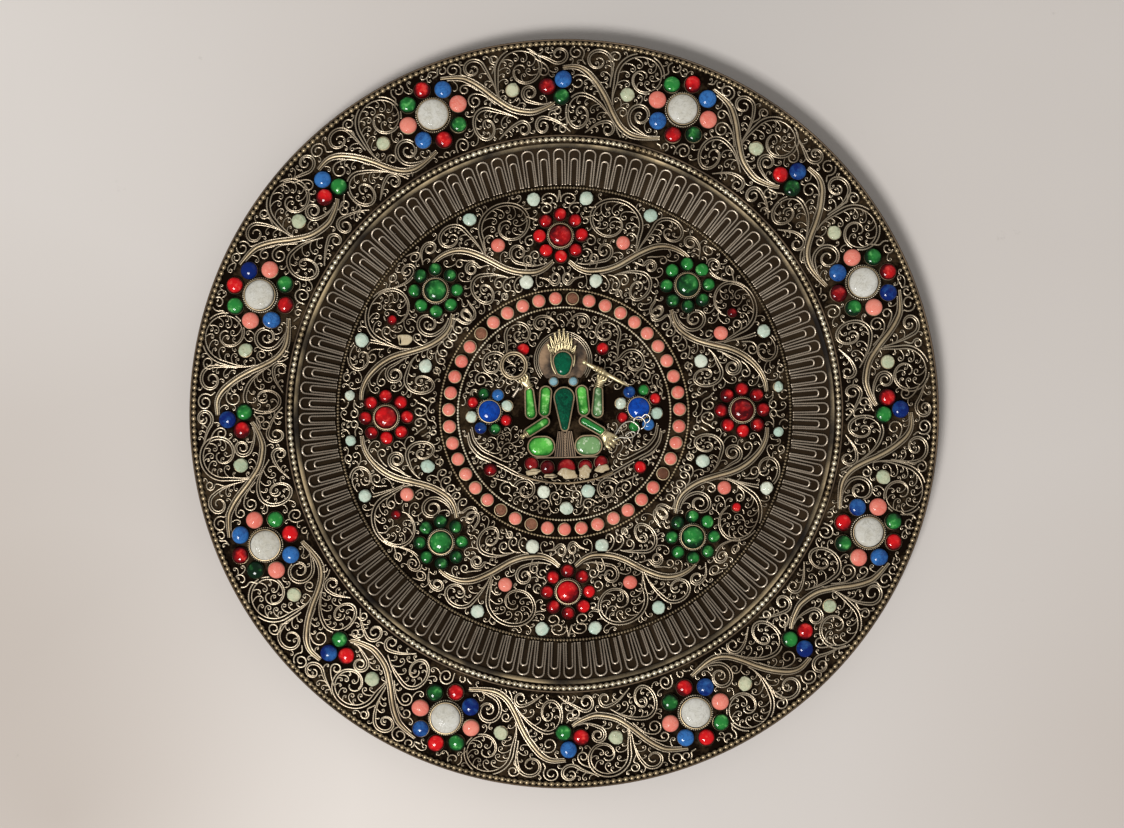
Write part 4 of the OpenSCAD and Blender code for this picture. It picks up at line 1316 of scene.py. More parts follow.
@dataclass
class StoneSetter:
    """Sets stones and their settings on one level of the plate."""

    palette: Palette
    level: float
    chance: random.Random

    def stones(self, name: str, groups: Iterable[tuple[Cabochon, Sequence[Point]]], finish: str, node: str,
               uneven: float = 0.07, tilt: float = 4.0, wobble: float = 0.0) -> None:
        """Sets stones of one kind.

        Args:
            name: name of the piece.
            groups: a shape and the places for it.
            finish: name of the finish.
            node: the solid that they stand for.
            uneven: how far the stones differ from round.
            tilt: how far they lean, in degrees.
            wobble: how far their points are pushed about.
        """
        bench = Bench()
        for shape, places in groups:
            master = shape.master()
            for number, (x, y) in enumerate(places):
                sizes = [self.chance.uniform(low, 1.0) for low in (1 - uneven, 1 - uneven, 0.94)]
                lean = Matrix.Rotation(math.radians(self.chance.gauss(0, tilt)), 4, "X")
                spin = Matrix.Rotation(self.chance.uniform(0, 2 * math.pi), 4, "Z")
                place = Matrix.Translation((x, y, self.level)) @ spin @ lean
                bench.stamp(master, place @ Matrix.Diagonal((*sizes, 1.0)), wobble, number)
        publish(name, bench.mesh(24.0 if wobble else 60.0), self.palette[finish], node)

    def bezels(self, name: str, groups: Iterable[tuple[Bezel, Sequence[Point]]], *nodes: str,
               finish: str = "bezel_silver") -> None:
        """Solders strip settings.

        Args:
            name: name of the piece.
            groups: a shape and the places for it.
            nodes: the solids that they stand for.
            finish: name of the finish.
        """
        bench = Bench()
        for shape, places in groups:
            master = shape.master()
            for x, y in places:
                spin = Matrix.Rotation(self.chance.uniform(0, 2 * math.pi), 4, "Z")
                bench.stamp(master, Matrix.Translation((x, y, self.level)) @ spin)
        publish(name, bench.mesh(50.0), self.palette[finish], *nodes)

    def bead_rings(self, name: str, places: Sequence[Point], ring: float, size: float, count: int,
                   lift: float = 0.0) -> None:
        """Lays a ring of small balls around each setting.

        Args:
            name: name of the piece.
            places: middles of the settings.
            ring: radius of the ring.
            size: radius of a ball.
            count: balls in a ring.
            lift: height of the step that they lie on.
        """
        bench = Bench()
        master = bead_master(6, 4)
        for middle in places:
            for x, y in ring_places(middle, ring, self.chance.uniform(0, 360), 360 / count, count):
                place = Matrix.Translation((x, y, self.level + lift + size))
                bench.stamp(master, place @ Matrix.Scale(size, 4))
        publish(name, bench.mesh(80.0), self.palette["bead_silver"])


def bead_master(sides: int, rings: int) -> bpy.types.Mesh:
    """Makes a small ball of radius 1.

    Args:
        sides: faces around it.
        rings: faces from pole to pole.

    Returns:
        The ball.
    """
    bench = Bench()
    bmesh.ops.create_uvsphere(bench.bm, u_segments=sides, v_segments=rings, radius=1.0)
    return bench.mesh(90.0)


# The dish


@dataclass
class Dish:
    """The spun sheet with its flat floor, sloping wall and flat rim, and the band on its edge."""

    floor_r: float = 93.0
    shoulder_r: float = 108.5
    dish_r: float = 149.2
    plate_r: float = 150.0
    sheet: float = 1.2
    depth: float = 13.0
    band_up: float = 0.9
    steps: int = 180

    @property
    def floor_z(self) -> float:
        """Height of the floor's face."""
        return self.sheet

    @property
    def rim_z(self) -> float:
        """Height of the rim's face."""
        return self.depth + self.sheet

    def build(self, palette: Palette) -> None:
        """Builds the sheet and its edge band.

        Args:
            palette: the finishes.
        """
        set_out = self.sheet * math.tan(math.atan2(self.depth, self.shoulder_r - self.floor_r) / 2)
        corners = [(0.0, 0.0), (self.floor_r + set_out, 0.0), (self.shoulder_r + set_out, self.depth),
                   (self.dish_r, self.depth), (self.dish_r, self.rim_z), (self.shoulder_r, self.rim_z),
                   (self.floor_r, self.floor_z), (0.0, self.floor_z)]
        bench = Bench()
        bench.turn(self._softened(corners), self.steps)
        publish("spun_dish", bench.mesh(25.0), palette["oxide_sheet"], "base_dish")
        low = self.depth
        top = self.rim_z + self.band_up
        soft = 0.2
        bench.turn([(self.dish_r, low), (self.plate_r - soft, low), (self.plate_r, low + soft),
                    (self.plate_r, top - 0.25), (self.plate_r - soft, top), (self.dish_r + soft, top),
                    (self.dish_r, top - soft)], 240, closed=True)
        publish("edge_band", bench.mesh(50.0), palette["edge_bronze"], "rim_edge_band")

    @staticmethod
    def _softened(corners: Sequence[Point]) -> list[Point]:
        """Rounds the four bends of the sheet.

        Args:
            corners: sharp corners of the section.

        Returns:
            The section with short arcs at the bends.
        """
        soft: list[Point] = []
        for k, corner in enumerate(corners):
            if k in (1, 2, 5, 6):
                here = Vector(corner)
                back = here + (Vector(corners[k - 1]) - here).normalized()
                ahead = here + (Vector(corners[k + 1]) - here).normalized()
                for share in (0.0, 0.33, 0.67, 1.0):
                    spot = (1 - share) ** 2 * back + 2 * share * (1 - share) * here + share ** 2 * ahead
                    soft.append((spot.x, spot.y))
            else:
                soft.append(corner)
        return soft


@dataclass(frozen=True)
class BeadedWire:
    """A ring of beaded wire: balls in a row on a thin core."""

    name: str
    node: str
    radius: float
    size: float
    count: int
    level: float
    finish: str = "bead_silver"

    def build(self, palette: Palette, chance: random.Random) -> None:
        """Builds the ring.

        Args:
            palette: the finishes.
            chance: source of the small differences among beads.
        """
        bench = Bench()
        half = self.size / 2
        core = ring_places((self.radius, self.level + half * 0.5), 0.4 * half, 0, 60, 6)
        bench.turn(core, 220, closed=True)
        master = bead_master(8, 5)
        barrel = Matrix.Diagonal((half * 1.14, math.pi * self.radius / self.count * 0.97, half, 1.0))
        for k in range(self.count):
            turn = Matrix.Rotation(2 * math.pi * k / self.count, 4, "Z")
            size = Matrix.Scale(chance.uniform(0.93, 1.0), 4)
            place = turn @ Matrix.Translation((self.radius, 0, self.level + half))
            bench.stamp(master, place @ size @ barrel)
        publish(self.name, bench.mesh(80.0), palette[self.finish], self.node)


@dataclass
class Wall:
    """The sloping wall with its collar and its two rows of hairpin wires."""

    dish: Dish
    count: int = 104
    wire: float = 0.42
    outer_w: float = 4.5
    outer_top: float = 18.09
    inner_w: float = 2.58
    step_down: float = 4.4
    foot: float = 1.0
    collar_w: float = 1.9
    collar_t: float = 0.5

    def slope(self, up: Union[float, Line], lift: float) -> tuple[Union[float, Line], Union[float, Line]]:
        """Gives radius and height of places so far up the slope and lifted above it."""
        lean = math.atan2(self.dish.depth, self.dish.shoulder_r - self.dish.floor_r)
        return (self.dish.floor_r + up * math.cos(lean) - lift * math.sin(lean),
                self.dish.floor_z + up * math.sin(lean) + lift * math.cos(lean))

    def hairpin(self, turn: float, width: float, top: float) -> Line:
        """Draws one hairpin.

        Args:
            turn: clockwise turn of its middle, in degrees.
            width: distance between its legs.
            top: how far up the slope it reaches.

        Returns:
            Its middle line.
        """
        half = width / 2
        arch = top - half - self.wire
        arc = np.linspace(0, math.pi, 11)
        across = np.r_[half, half * np.cos(arc), -half]
        up = np.r_[self.foot, arch + half * np.sin(arc), self.foot]
        across, up = evenly(np.column_stack([across, up]), 0.42).T
        far, tall = self.slope(up, self.wire + 0.05)
        a = math.radians(turn)
        return np.column_stack([far * math.sin(a) + across * math.cos(a),
                                far * math.cos(a) - across * math.sin(a), tall])

    def build(self, palette: Palette, chance: random.Random) -> None:
        """Builds the collar and both rows of hairpins.

        Args:
            palette: the finishes.
            chance: source of the small differences among hairpins.
        """
        rows = (("outer_hairpins", "wall_outer_hairpins", self.outer_w, self.outer_top),
                ("inner_hairpins", "wall_inner_hairpins", self.inner_w, self.outer_top - self.step_down))
        for name, node, width, top in rows:
            bundle = WireBundle()
            for k in range(self.count):
                turn = 360 / self.count * k + chance.gauss(0, 0.06)
                high = min(top, top + chance.gauss(-0.15, 0.12))
                bundle.add(self.hairpin(turn, width + chance.gauss(0, 0.05), high), self.wire, 0.22)
            publish(name, bundle.mesh(), palette["wall_silver"], node)
        high = math.hypot(self.dish.shoulder_r - self.dish.floor_r, self.dish.depth) - 0.12
        low = high - self.collar_w
        soft = 0.15
        side = self.collar_t - 0.12
        section = [(low, 0.02), (high, 0.02), (high, side), (high - soft, self.collar_t),
                   (low + soft, self.collar_t), (low, side)]
        bench = Bench()
        bench.turn([self.slope(up, lift) for up, lift in section], 240, closed=True)
        publish("collar", bench.mesh(40.0), palette["collar_brown"], "wall_collar")


# Zones of the plate


@dataclass
class Zone:
    """A zone of the plate: the dish that it lies on, its finishes and its source of small differences."""

    dish: Dish
    palette: Palette
    chance: random.Random

    def piece(self, name: str, mesh: bpy.types.Mesh, finish: str, *nodes: str,
              slot: Optional[Slot] = None) -> None:
        """Makes a mesh a piece with a finish given by name."""
        publish(name, mesh, self.palette[finish], *nodes, slot=slot)

    def scroll_pieces(self, works: Sequence[Filigree], node: str) -> None:
        """Makes each stretch of scrolls a piece that stands for one node."""
        for work in works:
            self.piece(work.name, work.mesh(), "filigree_silver", node)

    def stem_piece(self, name: str, stems: Iterable[tuple[Sequence[Point], Band]], level: float,
                   node: str) -> None:
        """Lays heavy stems as one piece.

        Args:
            name: name of the piece.
            stems: points that each stem passes, and where it is laid.
            level: height of the sheet.
            node: the solid that they stand for.
        """
        bundle = WireBundle(8)
        for stem, band in stems:
            line = evenly(band.lay(through(stem)), 0.6)
            rise = level + 0.7 + 0.5 * np.sin(math.pi * np.linspace(0, 1, len(line)))
            bundle.add(np.column_stack([line, rise]), 0.78, taper=(0.4, 0.85, 1.0, 1.0, 0.95, 0.8, 0.4))
        self.piece(name, bundle.mesh(), "stem_silver", node)


# The rim


@dataclass
class Rim(Zone):
    """Stones, settings, stems and scrolls of the flat rim."""

    line_r: float = 130.5
    white_r: float = 6.0
    petal_r: float = 3.1
    petal_ring: float = 10.86
    stone_r: float = 2.9
    cluster_ring: float = 4.08
    cluster_turns: tuple[float, ...] = (0, 33, 24, 20, 23, 13, 30, 28)
    red_turn: float = 172.0
    blue_turn: float = 52.0
    green_turn: float = -68.0
    pale_r: float = 2.5
    pale_shifts: tuple[Point, ...] = ((12.4, -0.5), (37.1, 0.5))
    scrolls_from: float = 112.6
    scrolls_to: float = 147.0

    def rosettes(self) -> list[Point]:
        """Middles of the eight rosettes."""
        return [on_clock(45 * k + 22.5, self.line_r) for k in range(8)]

    def petals(self, first: int) -> list[Point]:
        """Finds the petals of one colour, or all of them.

        Args:
            first: number of the colour's first petal, or -1 for every petal.

        Returns:
            The place of each.
        """
        spots = []
        for k in range(8):
            for p in range(8):
                if first < 0 or p % 4 == first:
                    turn = math.radians(45 * p)
                    spots.append(on_clock(45 * k + 22.5, self.line_r, self.petal_ring * math.sin(turn),
                                          self.petal_ring * math.cos(turn)))
        return spots

    def cluster(self, turn: float) -> list[Point]:
        """Finds the cluster stones of one colour.

        Args:
            turn: where the colour lies around the middle of a cluster, in degrees.

        Returns:
            The place of each.
        """
        spots = []
        for k, own in enumerate(self.cluster_turns):
            a = math.radians(turn + own)
            spots.append(on_clock(45 * k, self.line_r, self.cluster_ring * math.cos(a),
                                  self.cluster_ring * math.sin(a)))
        return spots

    def clusters(self) -> list[Point]:
        """Places of all cluster stones."""
        return self.cluster(self.red_turn) + self.cluster(self.blue_turn) + self.cluster(self.green_turn)

    def pales(self) -> list[Point]:
        """Places of the single pale stones, two in each eighth."""
        return [on_clock(45 * k + turn, self.line_r + out) for turn, out in self.pale_shifts
                for k in range(8)]

    def build(self) -> None:
        """Builds everything on the rim."""
        setter = StoneSetter(self.palette, self.dish.rim_z, self.chance)
        petal = Cabochon(self.petal_r, 3.0, over=0.42)
        stone = Cabochon(self.stone_r, 3.0, over=0.6)
        white = Cabochon(self.white_r + 0.1, 4.4, 0.6, 30, 7)
        setter.stones("rim_whites", [(white, self.rosettes())], "white_shell", "rim_white_stones")
        setter.stones("rim_reds", [(petal, self.petals(0)), (stone, self.cluster(self.red_turn))],
                      "red_glass", "rim_red_stones")
        setter.stones("rim_blues", [(petal, self.petals(1)), (stone, self.cluster(self.blue_turn))],
                      "blue_stone", "rim_blue_stones")
        setter.stones("rim_corals", [(petal, self.petals(2))], "coral", "rim_coral_stones")
        setter.stones("rim_greens", [(petal, self.petals(3)), (stone, self.cluster(self.green_turn))],
                      "green_glass", "rim_green_stones")
        pale = Cabochon(self.pale_r, 2.7, 0.54, 11, 3, 0.45)
        setter.stones("rim_pales", [(pale, self.pales())], "rim_pale", "rim_pale_stones", 0.12, 5.0, 0.13)
        middles = self.rosettes()
        setter.bezels("rim_rosette_settings", [(Bezel(self.white_r + 0.08, 2.8, 0.34, 36), middles)],
                      "rim_rosette_bezels")
        setter.bezels("rim_rosette_steps", [(Bezel(self.white_r + 0.5, 0.85, 0.7, 36), middles)],
                      finish="edge_bronze")
        setter.bezels("rim_small_settings", [
            (Bezel(self.petal_r, 1.2), self.petals(-1)), (Bezel(self.stone_r, 1.2), self.clusters()),
            (Bezel(self.pale_r, 1.3), self.pales())], "rim_small_bezels")
        setter.bead_rings("rim_rosette_beads", middles, self.white_r + 0.84, 0.36, 50, 0.7)
        self.scrolls()
        stems = [part[1:] for k in range(8) for part in self.parts(k)]
        self.stem_piece("rim_stem_wires", stems, self.dish.rim_z, "rim_stems")

    def settings(self) -> list[Disc]:
        """Round places that the wires stop at."""
        return (around(self.rosettes(), self.white_r + 1.4) + around(self.petals(-1), self.petal_r + 0.75)
                + around(self.clusters(), self.stone_r + 0.85) + around(self.pales(), self.pale_r + 0.75))

    def parts(self, k: int) -> list[tuple[Sequence[Volute], Sequence[Point], Band]]:
        """Gives the two plans of one eighth, their stems and where they lie."""
        return [(AFTER_CLUSTER, CLUSTER_STEM, Band(self.line_r, 45 * k)),
                (AFTER_ROSETTE, ROSETTE_STEM, Band(self.line_r, 45 * k + 22.5))]

    def scrolls(self) -> None:
        """Lays the scrolls, one piece for each eighth of the rim."""
        clear = Clearance(self.scrolls_from, self.scrolls_to, self.settings())
        gaps = GapMap(clear)
        works = []
        for k in range(8):
            work = Filigree(f"rim_scrolls_{k + 1}", clear, gaps, self.dish.rim_z, self.chance)
            for plan, _, band in self.parts(k):
                work.scrolls(plan, band)
            for _, stem, band in self.parts(k):
                work.stem_sides(stem, band)
            works.append(work)
        grow_all(works)
        self.scroll_pieces(works, "rim_scrolls")


# The floor


@dataclass
class Floor(Zone):
    """Stones, settings, stems and scrolls of the floor, and the ring of corals."""

    line_r: float = 72.5
    centre_r: float = 4.4
    petal_r: float = 2.4
    petal_ring: float = 8.56
    pale_r: float = 2.2
    coral_r: float = 2.5
    dot_r: float = 1.7
    ring_r: float = 47.0
    ring_count: int = 43
    ring_turn: float = -3.1
    ring_stone_r: float = 2.4
    pale_places: tuple[Point, ...] = ((7.0, 88.0), (24.8, 87.8), (14.6, 55.6), (68.8, 87.8), (70.0, 59.6))
    coral_places: tuple[Point, ...] = ((20.2, 73.6), (64.0, 71.8))
    dot_place: Point = (60.2, 79.8)
    pale_dot_place: Point = (84.0, 87.6)
    scrolls_from: float = 51.7
    scrolls_to: float = 91.2
    lost: tuple[int, ...] = (1, 15, 24, 26, 38)
    lost_coral: Point = (-62.0, 31.0)

    @staticmethod
    def quarters(places: Sequence[Point]) -> list[Point]:
        """Copies clock places of one quarter into all four."""
        spots = [on_clock(turn, radius) for turn, radius in places]
        return [(x * sx, y * sy) for x, y in spots for sx in (1, -1) for sy in (1, -1)]

    def rosettes(self, first: int) -> list[Point]:
        """Middles of the red rosettes (first 0) or the green ones (first 1)."""
        return [on_clock(45 * k, self.line_r) for k in range(first, 8, 2)]

    def petals(self, first: int) -> list[Point]:
        """Finds the petals of the red or the green rosettes.

        Args:
            first: 0 for the red rosettes, 1 for the green ones.

        Returns:
            The place of each.
        """
        spots = []
        for k in range(first, 8, 2):
            spots += ring_places(on_clock(45 * k, self.line_r), self.petal_ring, 90 - 45 * k, 45, 8)
        return spots

    def pales(self) -> list[Point]:
        """Places of the pale stones."""
        return self.quarters(self.pale_places)

    def corals(self) -> list[Point]:
        """Places of the single corals."""
        return self.quarters(self.coral_places)

    def ring(self, lost: bool) -> list[Point]:
        """Finds the settings of the coral ring that have lost their stone, or that still have it.

        Args:
            lost: whether the settings without a stone are wanted.

        Returns:
            The place of each.
        """
        step = 360 / self.ring_count
        kept = [k for k in range(self.ring_count) if (k in self.lost) == lost]
        return [on_clock(self.ring_turn + step * k, self.ring_r) for k in kept]

    def build(self) -> None:
        """Builds everything on the floor around the medallion."""
        setter = StoneSetter(self.palette, self.dish.floor_z, self.chance)
        centre = Cabochon(self.centre_r + 0.36, 3.8, 0.5, 28, 7)
        petal = Cabochon(self.petal_r, 2.8, over=0.46)
        dot = Cabochon(self.dot_r, 2.6, 0.54, 14, 4, 0.45)
        dots = self.quarters([self.dot_place])
        pale_dots = self.quarters([self.pale_dot_place])
        for first, colour in ((0, "red"), (1, "green")):
            for kind, shape, places, node in (("middles", centre, self.rosettes(first), "centres"),
                                              ("petal_stones", petal, self.petals(first), "petals")):
                setter.stones(f"floor_{colour}_{kind}", [(shape, places)], f"{colour}_glass",
                              f"floor_{colour}_{node}")
        middles = self.rosettes(0) + self.rosettes(1)
        pale = Cabochon(self.pale_r, 2.7, 0.54, 11, 3, 0.72)
        setter.stones("floor_pales", [(pale, self.pales()), (dot, pale_dots)], "pale_stone",
                      "floor_pale_stones", 0.12, 5.0, 0.11)
        kept = [p for p in self.corals() if math.dist(p, self.lost_coral) > 10]
        setter.stones("floor_corals", [(Cabochon(self.coral_r, 2.9, 0.5, over=0.4), kept)], "coral",
                      "floor_coral_stones")
        setter.stones("floor_dots", [(dot, dots)], "red_glass", "floor_dot_stones")
        ring_coral = Cabochon(self.ring_stone_r, 3.1, 0.6, over=0.16)
        setter.stones("ring_corals", [(ring_coral, self.ring(False))], "coral", "coral_ring_stones")
        wax = Cabochon(self.ring_stone_r, 1.0, 0.7)
        setter.stones("ring_wax", [(wax, self.ring(True))], "setting_wax", "coral_ring_wax", 0.03, 5.0)
        setter.bezels("floor_rosette_settings", [(Bezel(self.centre_r + 0.36, 2.4, 0.32, 32), middles)],
                      "floor_rosette_bezels")
        setter.bezels("floor_rosette_steps", [(Bezel(self.centre_r + 0.7, 0.85, 0.52, 32), middles)],
                      finish="edge_bronze")
        setter.bezels("floor_small_settings", [
            (Bezel(self.petal_r, 1.2), self.petals(0) + self.petals(1)),
            (Bezel(self.pale_r, 1.3), self.pales()), (Bezel(self.coral_r, 1.3), kept),
            (Bezel(self.dot_r, 1.3), dots + pale_dots)], "floor_small_bezels")
        ring = self.ring(False) + self.ring(True)
        setter.bezels("ring_settings", [(Bezel(self.ring_stone_r, 1.7), ring)], "coral_ring_bezels")
        setter.bead_rings("floor_rosette_beads", middles, self.centre_r + 0.96, 0.3, 46, 0.7)
        self.plaster()
        self.scrolls()
        stems = [part[1:] for part in self.parts()]
        self.stem_piece("floor_stem_wires", stems, self.dish.floor_z, "floor_stems")

    def plaster(self) -> None:
        """Leaves a flat patch of plaster where one coral is lost."""
        spot = min(self.corals(), key=lambda p: math.dist(p, self.lost_coral))
        outline = [(spot[0] + self.coral_r * (1.15 + 0.25 * math.sin(3 * a + 1)) * math.cos(a),
                    spot[1] + self.coral_r * (1.1 + 0.25 * math.cos(2 * a)) * math.sin(a))
                   for a in np.linspace(0, 2 * math.pi, 20, endpoint=False)]
        bench = Bench()
        bench.pillow(outline, self.dish.floor_z + 0.05, 0.5, 0.35, 1.4)
        self.piece("plaster_patch", bench.mesh(50.0), "old_plaster")

    def settings(self) -> list[Disc]:
        """Gives round places that the wires stop at.

        Returns:
            The middle and the radius of each.
        """
        dots = self.quarters([self.dot_place, self.pale_dot_place])
        return (around(self.rosettes(0) + self.rosettes(1), self.centre_r + 1.3)
                + around(self.petals(0) + self.petals(1), self.petal_r + 0.7)
                + around(self.pales(), self.pale_r + 0.95) + around(self.corals(), self.coral_r + 0.75)
                + around(dots, self.dot_r + 0.75))

    def parts(self) -> Iterator[tuple[Sequence[Volute], Sequence[Point], Band]]:
        """Gives the two plans of each quarter.

        Yields:
            The volutes, the points of the stem and the band of each plan.
        """
        for flip_x in (1, -1):
            for flip_y in (1, -1):
                yield RED_TO_GREEN, RED_STEM, Band(self.line_r, 0, flip_x, flip_y)
                yield GREEN_TO_RED, GREEN_STEM, Band(self.line_r, 45, flip_x, flip_y)

    def scrolls(self) -> None:
        """Lays the scrolls, one piece for each eighth of the floor."""
        clear = Clearance(self.scrolls_from, self.scrolls_to, self.settings())
        gaps = GapMap(clear)
        works = []
        for number, (plan, stem, band) in enumerate(self.parts()):
            work = Filigree(f"floor_scrolls_{number + 1}", clear, gaps, self.dish.floor_z, self.chance,
                            thin=0.95)
            work.scrolls(plan, band)
            work.stem_sides(stem, band)
            works.append(work)
        grow_all(works)
        self.scroll_pieces(works, "floor_scrolls")


# The medallion


@dataclass
class Medallion(Zone):
    """Two blue rosettes, single stones and scrolls around the round places that the figure covers."""

    covered: Sequence[Disc]
    side_x: float = 30.4
    side_y: float = 1.6
    side_turn: float = 16.0
    centre_r: float = 4.3
    petal_r: float = 2.1
    petal_ring: float = 7.66
    stone_r: float = 2.3
    reds: tuple[Point, ...] = ((16.2, 26.2), (-16.4, 26.4), (30.4, -22.4), (-30.4, -22.4))
    pales: tuple[Point, ...] = ((9.0, -31.6), (-9.0, -31.6), (0.0, -38.4))
    scrolls_to: float = 42.2
    sweep: tuple[Point, ...] = ((39.8, -7.8), (38.6, -12.6), (35.4, -16.5), (31.0, -18.9), (26.0, -21.4),
                                (20.4, -24.5), (15.4, -26.6))

    def petals(self, first: int) -> list[Point]:
        """Finds the petals of one colour; the right rosette mirrors the left one.

        Args:
            first: number of the colour's first petal.

        Returns:
            The place of each.
        """
        spots = []
        for side in (-1, 1):
            for p in (first, first + 4):
                a = math.radians(90 - side * (45 * p + self.side_turn))
                spots.append((side * self.side_x + self.petal_ring * math.cos(a),
                              self.side_y + self.petal_ring * math.sin(a)))
        return spots

    def build(self) -> None:
        """Builds the stones, their settings and the scrolls."""
        setter = StoneSetter(self.palette, self.dish.floor_z, self.chance)
        petal = Cabochon(self.petal_r, 2.8, over=0.4)
        stone = Cabochon(self.stone_r, 2.8, over=0.45)
        rough_petal = Cabochon(self.petal_r, 2.6, 0.54, 10, 3, 0.4)
        rough_stone = Cabochon(self.stone_r, 2.7, 0.54, 11, 3, 0.5)
        sides = [(-self.side_x, self.side_y), (self.side_x, self.side_y)]
        centre = Cabochon(self.centre_r + 0.22, 3.6, 0.5, 28, 7)
        setter.stones("medallion_blue_middles", [(centre, sides)], "deep_blue", "medallion_blue_centres")
        setter.stones("medallion_blue_petals", [(petal, self.petals(3))], "blue_stone",
                      "medallion_blue_stones")
        setter.stones("medallion_green_petals", [(petal, self.petals(0))], "green_glass",
                      "medallion_green_stones")
        setter.stones("medallion_reds", [(petal, self.petals(1)), (stone, self.reds)], "red_glass",
                      "medallion_red_stones")
        setter.stones("medallion_pales", [(rough_petal, self.petals(2)), (rough_stone, self.pales)],
                      "pale_stone", "medallion_pale_stones", 0.15, 6.0, 0.13)
        every = [spot for first in range(4) for spot in self.petals(first)]
        setter.bezels("medallion_settings", [
            (Bezel(self.centre_r + 0.2, 2.4, 0.34, 32), sides), (Bezel(self.petal_r, 1.2), every),
            (Bezel(self.stone_r, 1.2), self.reds + self.pales)], "medallion_bezels")
        setter.bead_rings("medallion_rosette_beads", sides, self.centre_r + 0.86, 0.3, 36)
        self.scrolls(every, sides)

    def scrolls(self, petals: Sequence[Point], sides: Sequence[Point]) -> None:
        """Lays the scrolls around the figure.

        Args:
            petals: places of the petals.
            sides: middles of the two rosettes.
        """
        discs = (around(petals, self.petal_r + 0.7) + around(sides, self.centre_r + 0.8)
                 + around(self.reds + self.pales, self.stone_r + 0.7) + list(self.covered))
        clear = Clearance(0.0, self.scrolls_to, discs)
        work = Filigree("medallion_scroll_wires", clear, GapMap(clear, 0.27), self.dish.floor_z,
                        self.chance, 0.38, thin=0.95)
        for flip in (1, -1):
            work.scrolls(BESIDE_FIGURE, Flat(flip))
            self.plumes(work, flip)
        grow_all([work], (1.2, 1.0, 0.86, 0.74, 0.63, 0.54, 0.46, 0.4))
        self.scroll_pieces([work], "medallion_scrolls")

    def plumes(self, work: Filigree, flip: int) -> None:
        """Lays the long wires that sweep in below one rosette, with rows of curls on them.

        Args:
            work: the filigree that they join.
            flip: 1 for the right side, -1 for the left side.
        """
        side = Flat(flip)
        sweep = through(self.sweep)
        for inset, kept in ((0.0, 1.0), (1.0, 1.0), (2.6, 0.64), (3.5, 0.46)):
            plume = sweep[:int(len(sweep) * kept)] + np.array([-inset * 0.6, inset * 0.9])
            work.wire(side.lay(plume), Gauge.MAIN if inset < 2 else Gauge.TWIN)
            if inset > 2:
                way = plume[-1] - plume[-3]
                work.wire(side.lay(comma(plume[-1], math.atan2(way[1], way[0]), -1, 1.0)), Gauge.TWIN)
        work.spray(side.lay(sweep[24:] + np.array([-0.5, 1.1])), -flip, 9, 0.8)
        work.spray(side.lay(sweep[4:26] + np.array([-2.1, 3.2])), -flip, 5, 0.8)
        work.spray(side.lay(sweep[18:]), flip, 8, 0.8)


# The figure


@dataclass(frozen=True)
class Limb:
    """A flat stone with two round ends: middle and radius of each end."""

    first: Point
    last: Point
    first_r: float
    last_r: float
    fine: int = 12

    def mirrored(self) -> "Limb":
        """Gives the limb on the other side."""
        return replace(self, first=(-self.first[0], self.first[1]), last=(-self.last[0], self.last[1]))

    def outline(self, grow: float) -> list[Point]:
        """Draws the outline, grown by a margin.

        Args:
            grow: the margin.

        Returns:
            The points, counter-clockwise.
        """
        way = (self.last[0] - self.first[0], self.last[1] - self.first[1])
        heading = math.degrees(math.atan2(way[1], way[0]))
        lean = math.degrees(math.asin((self.first_r - self.last_r) / math.hypot(*way)))
        points = []
        for middle, radius, start, span in ((self.first, self.first_r, heading + 90 - lean, 180 + 2 * lean),
                                            (self.last, self.last_r, heading - 90 + lean, 180 - 2 * lean)):
            points += ring_places(middle, radius + grow, start, span / self.fine, self.fine + 1)
        return points


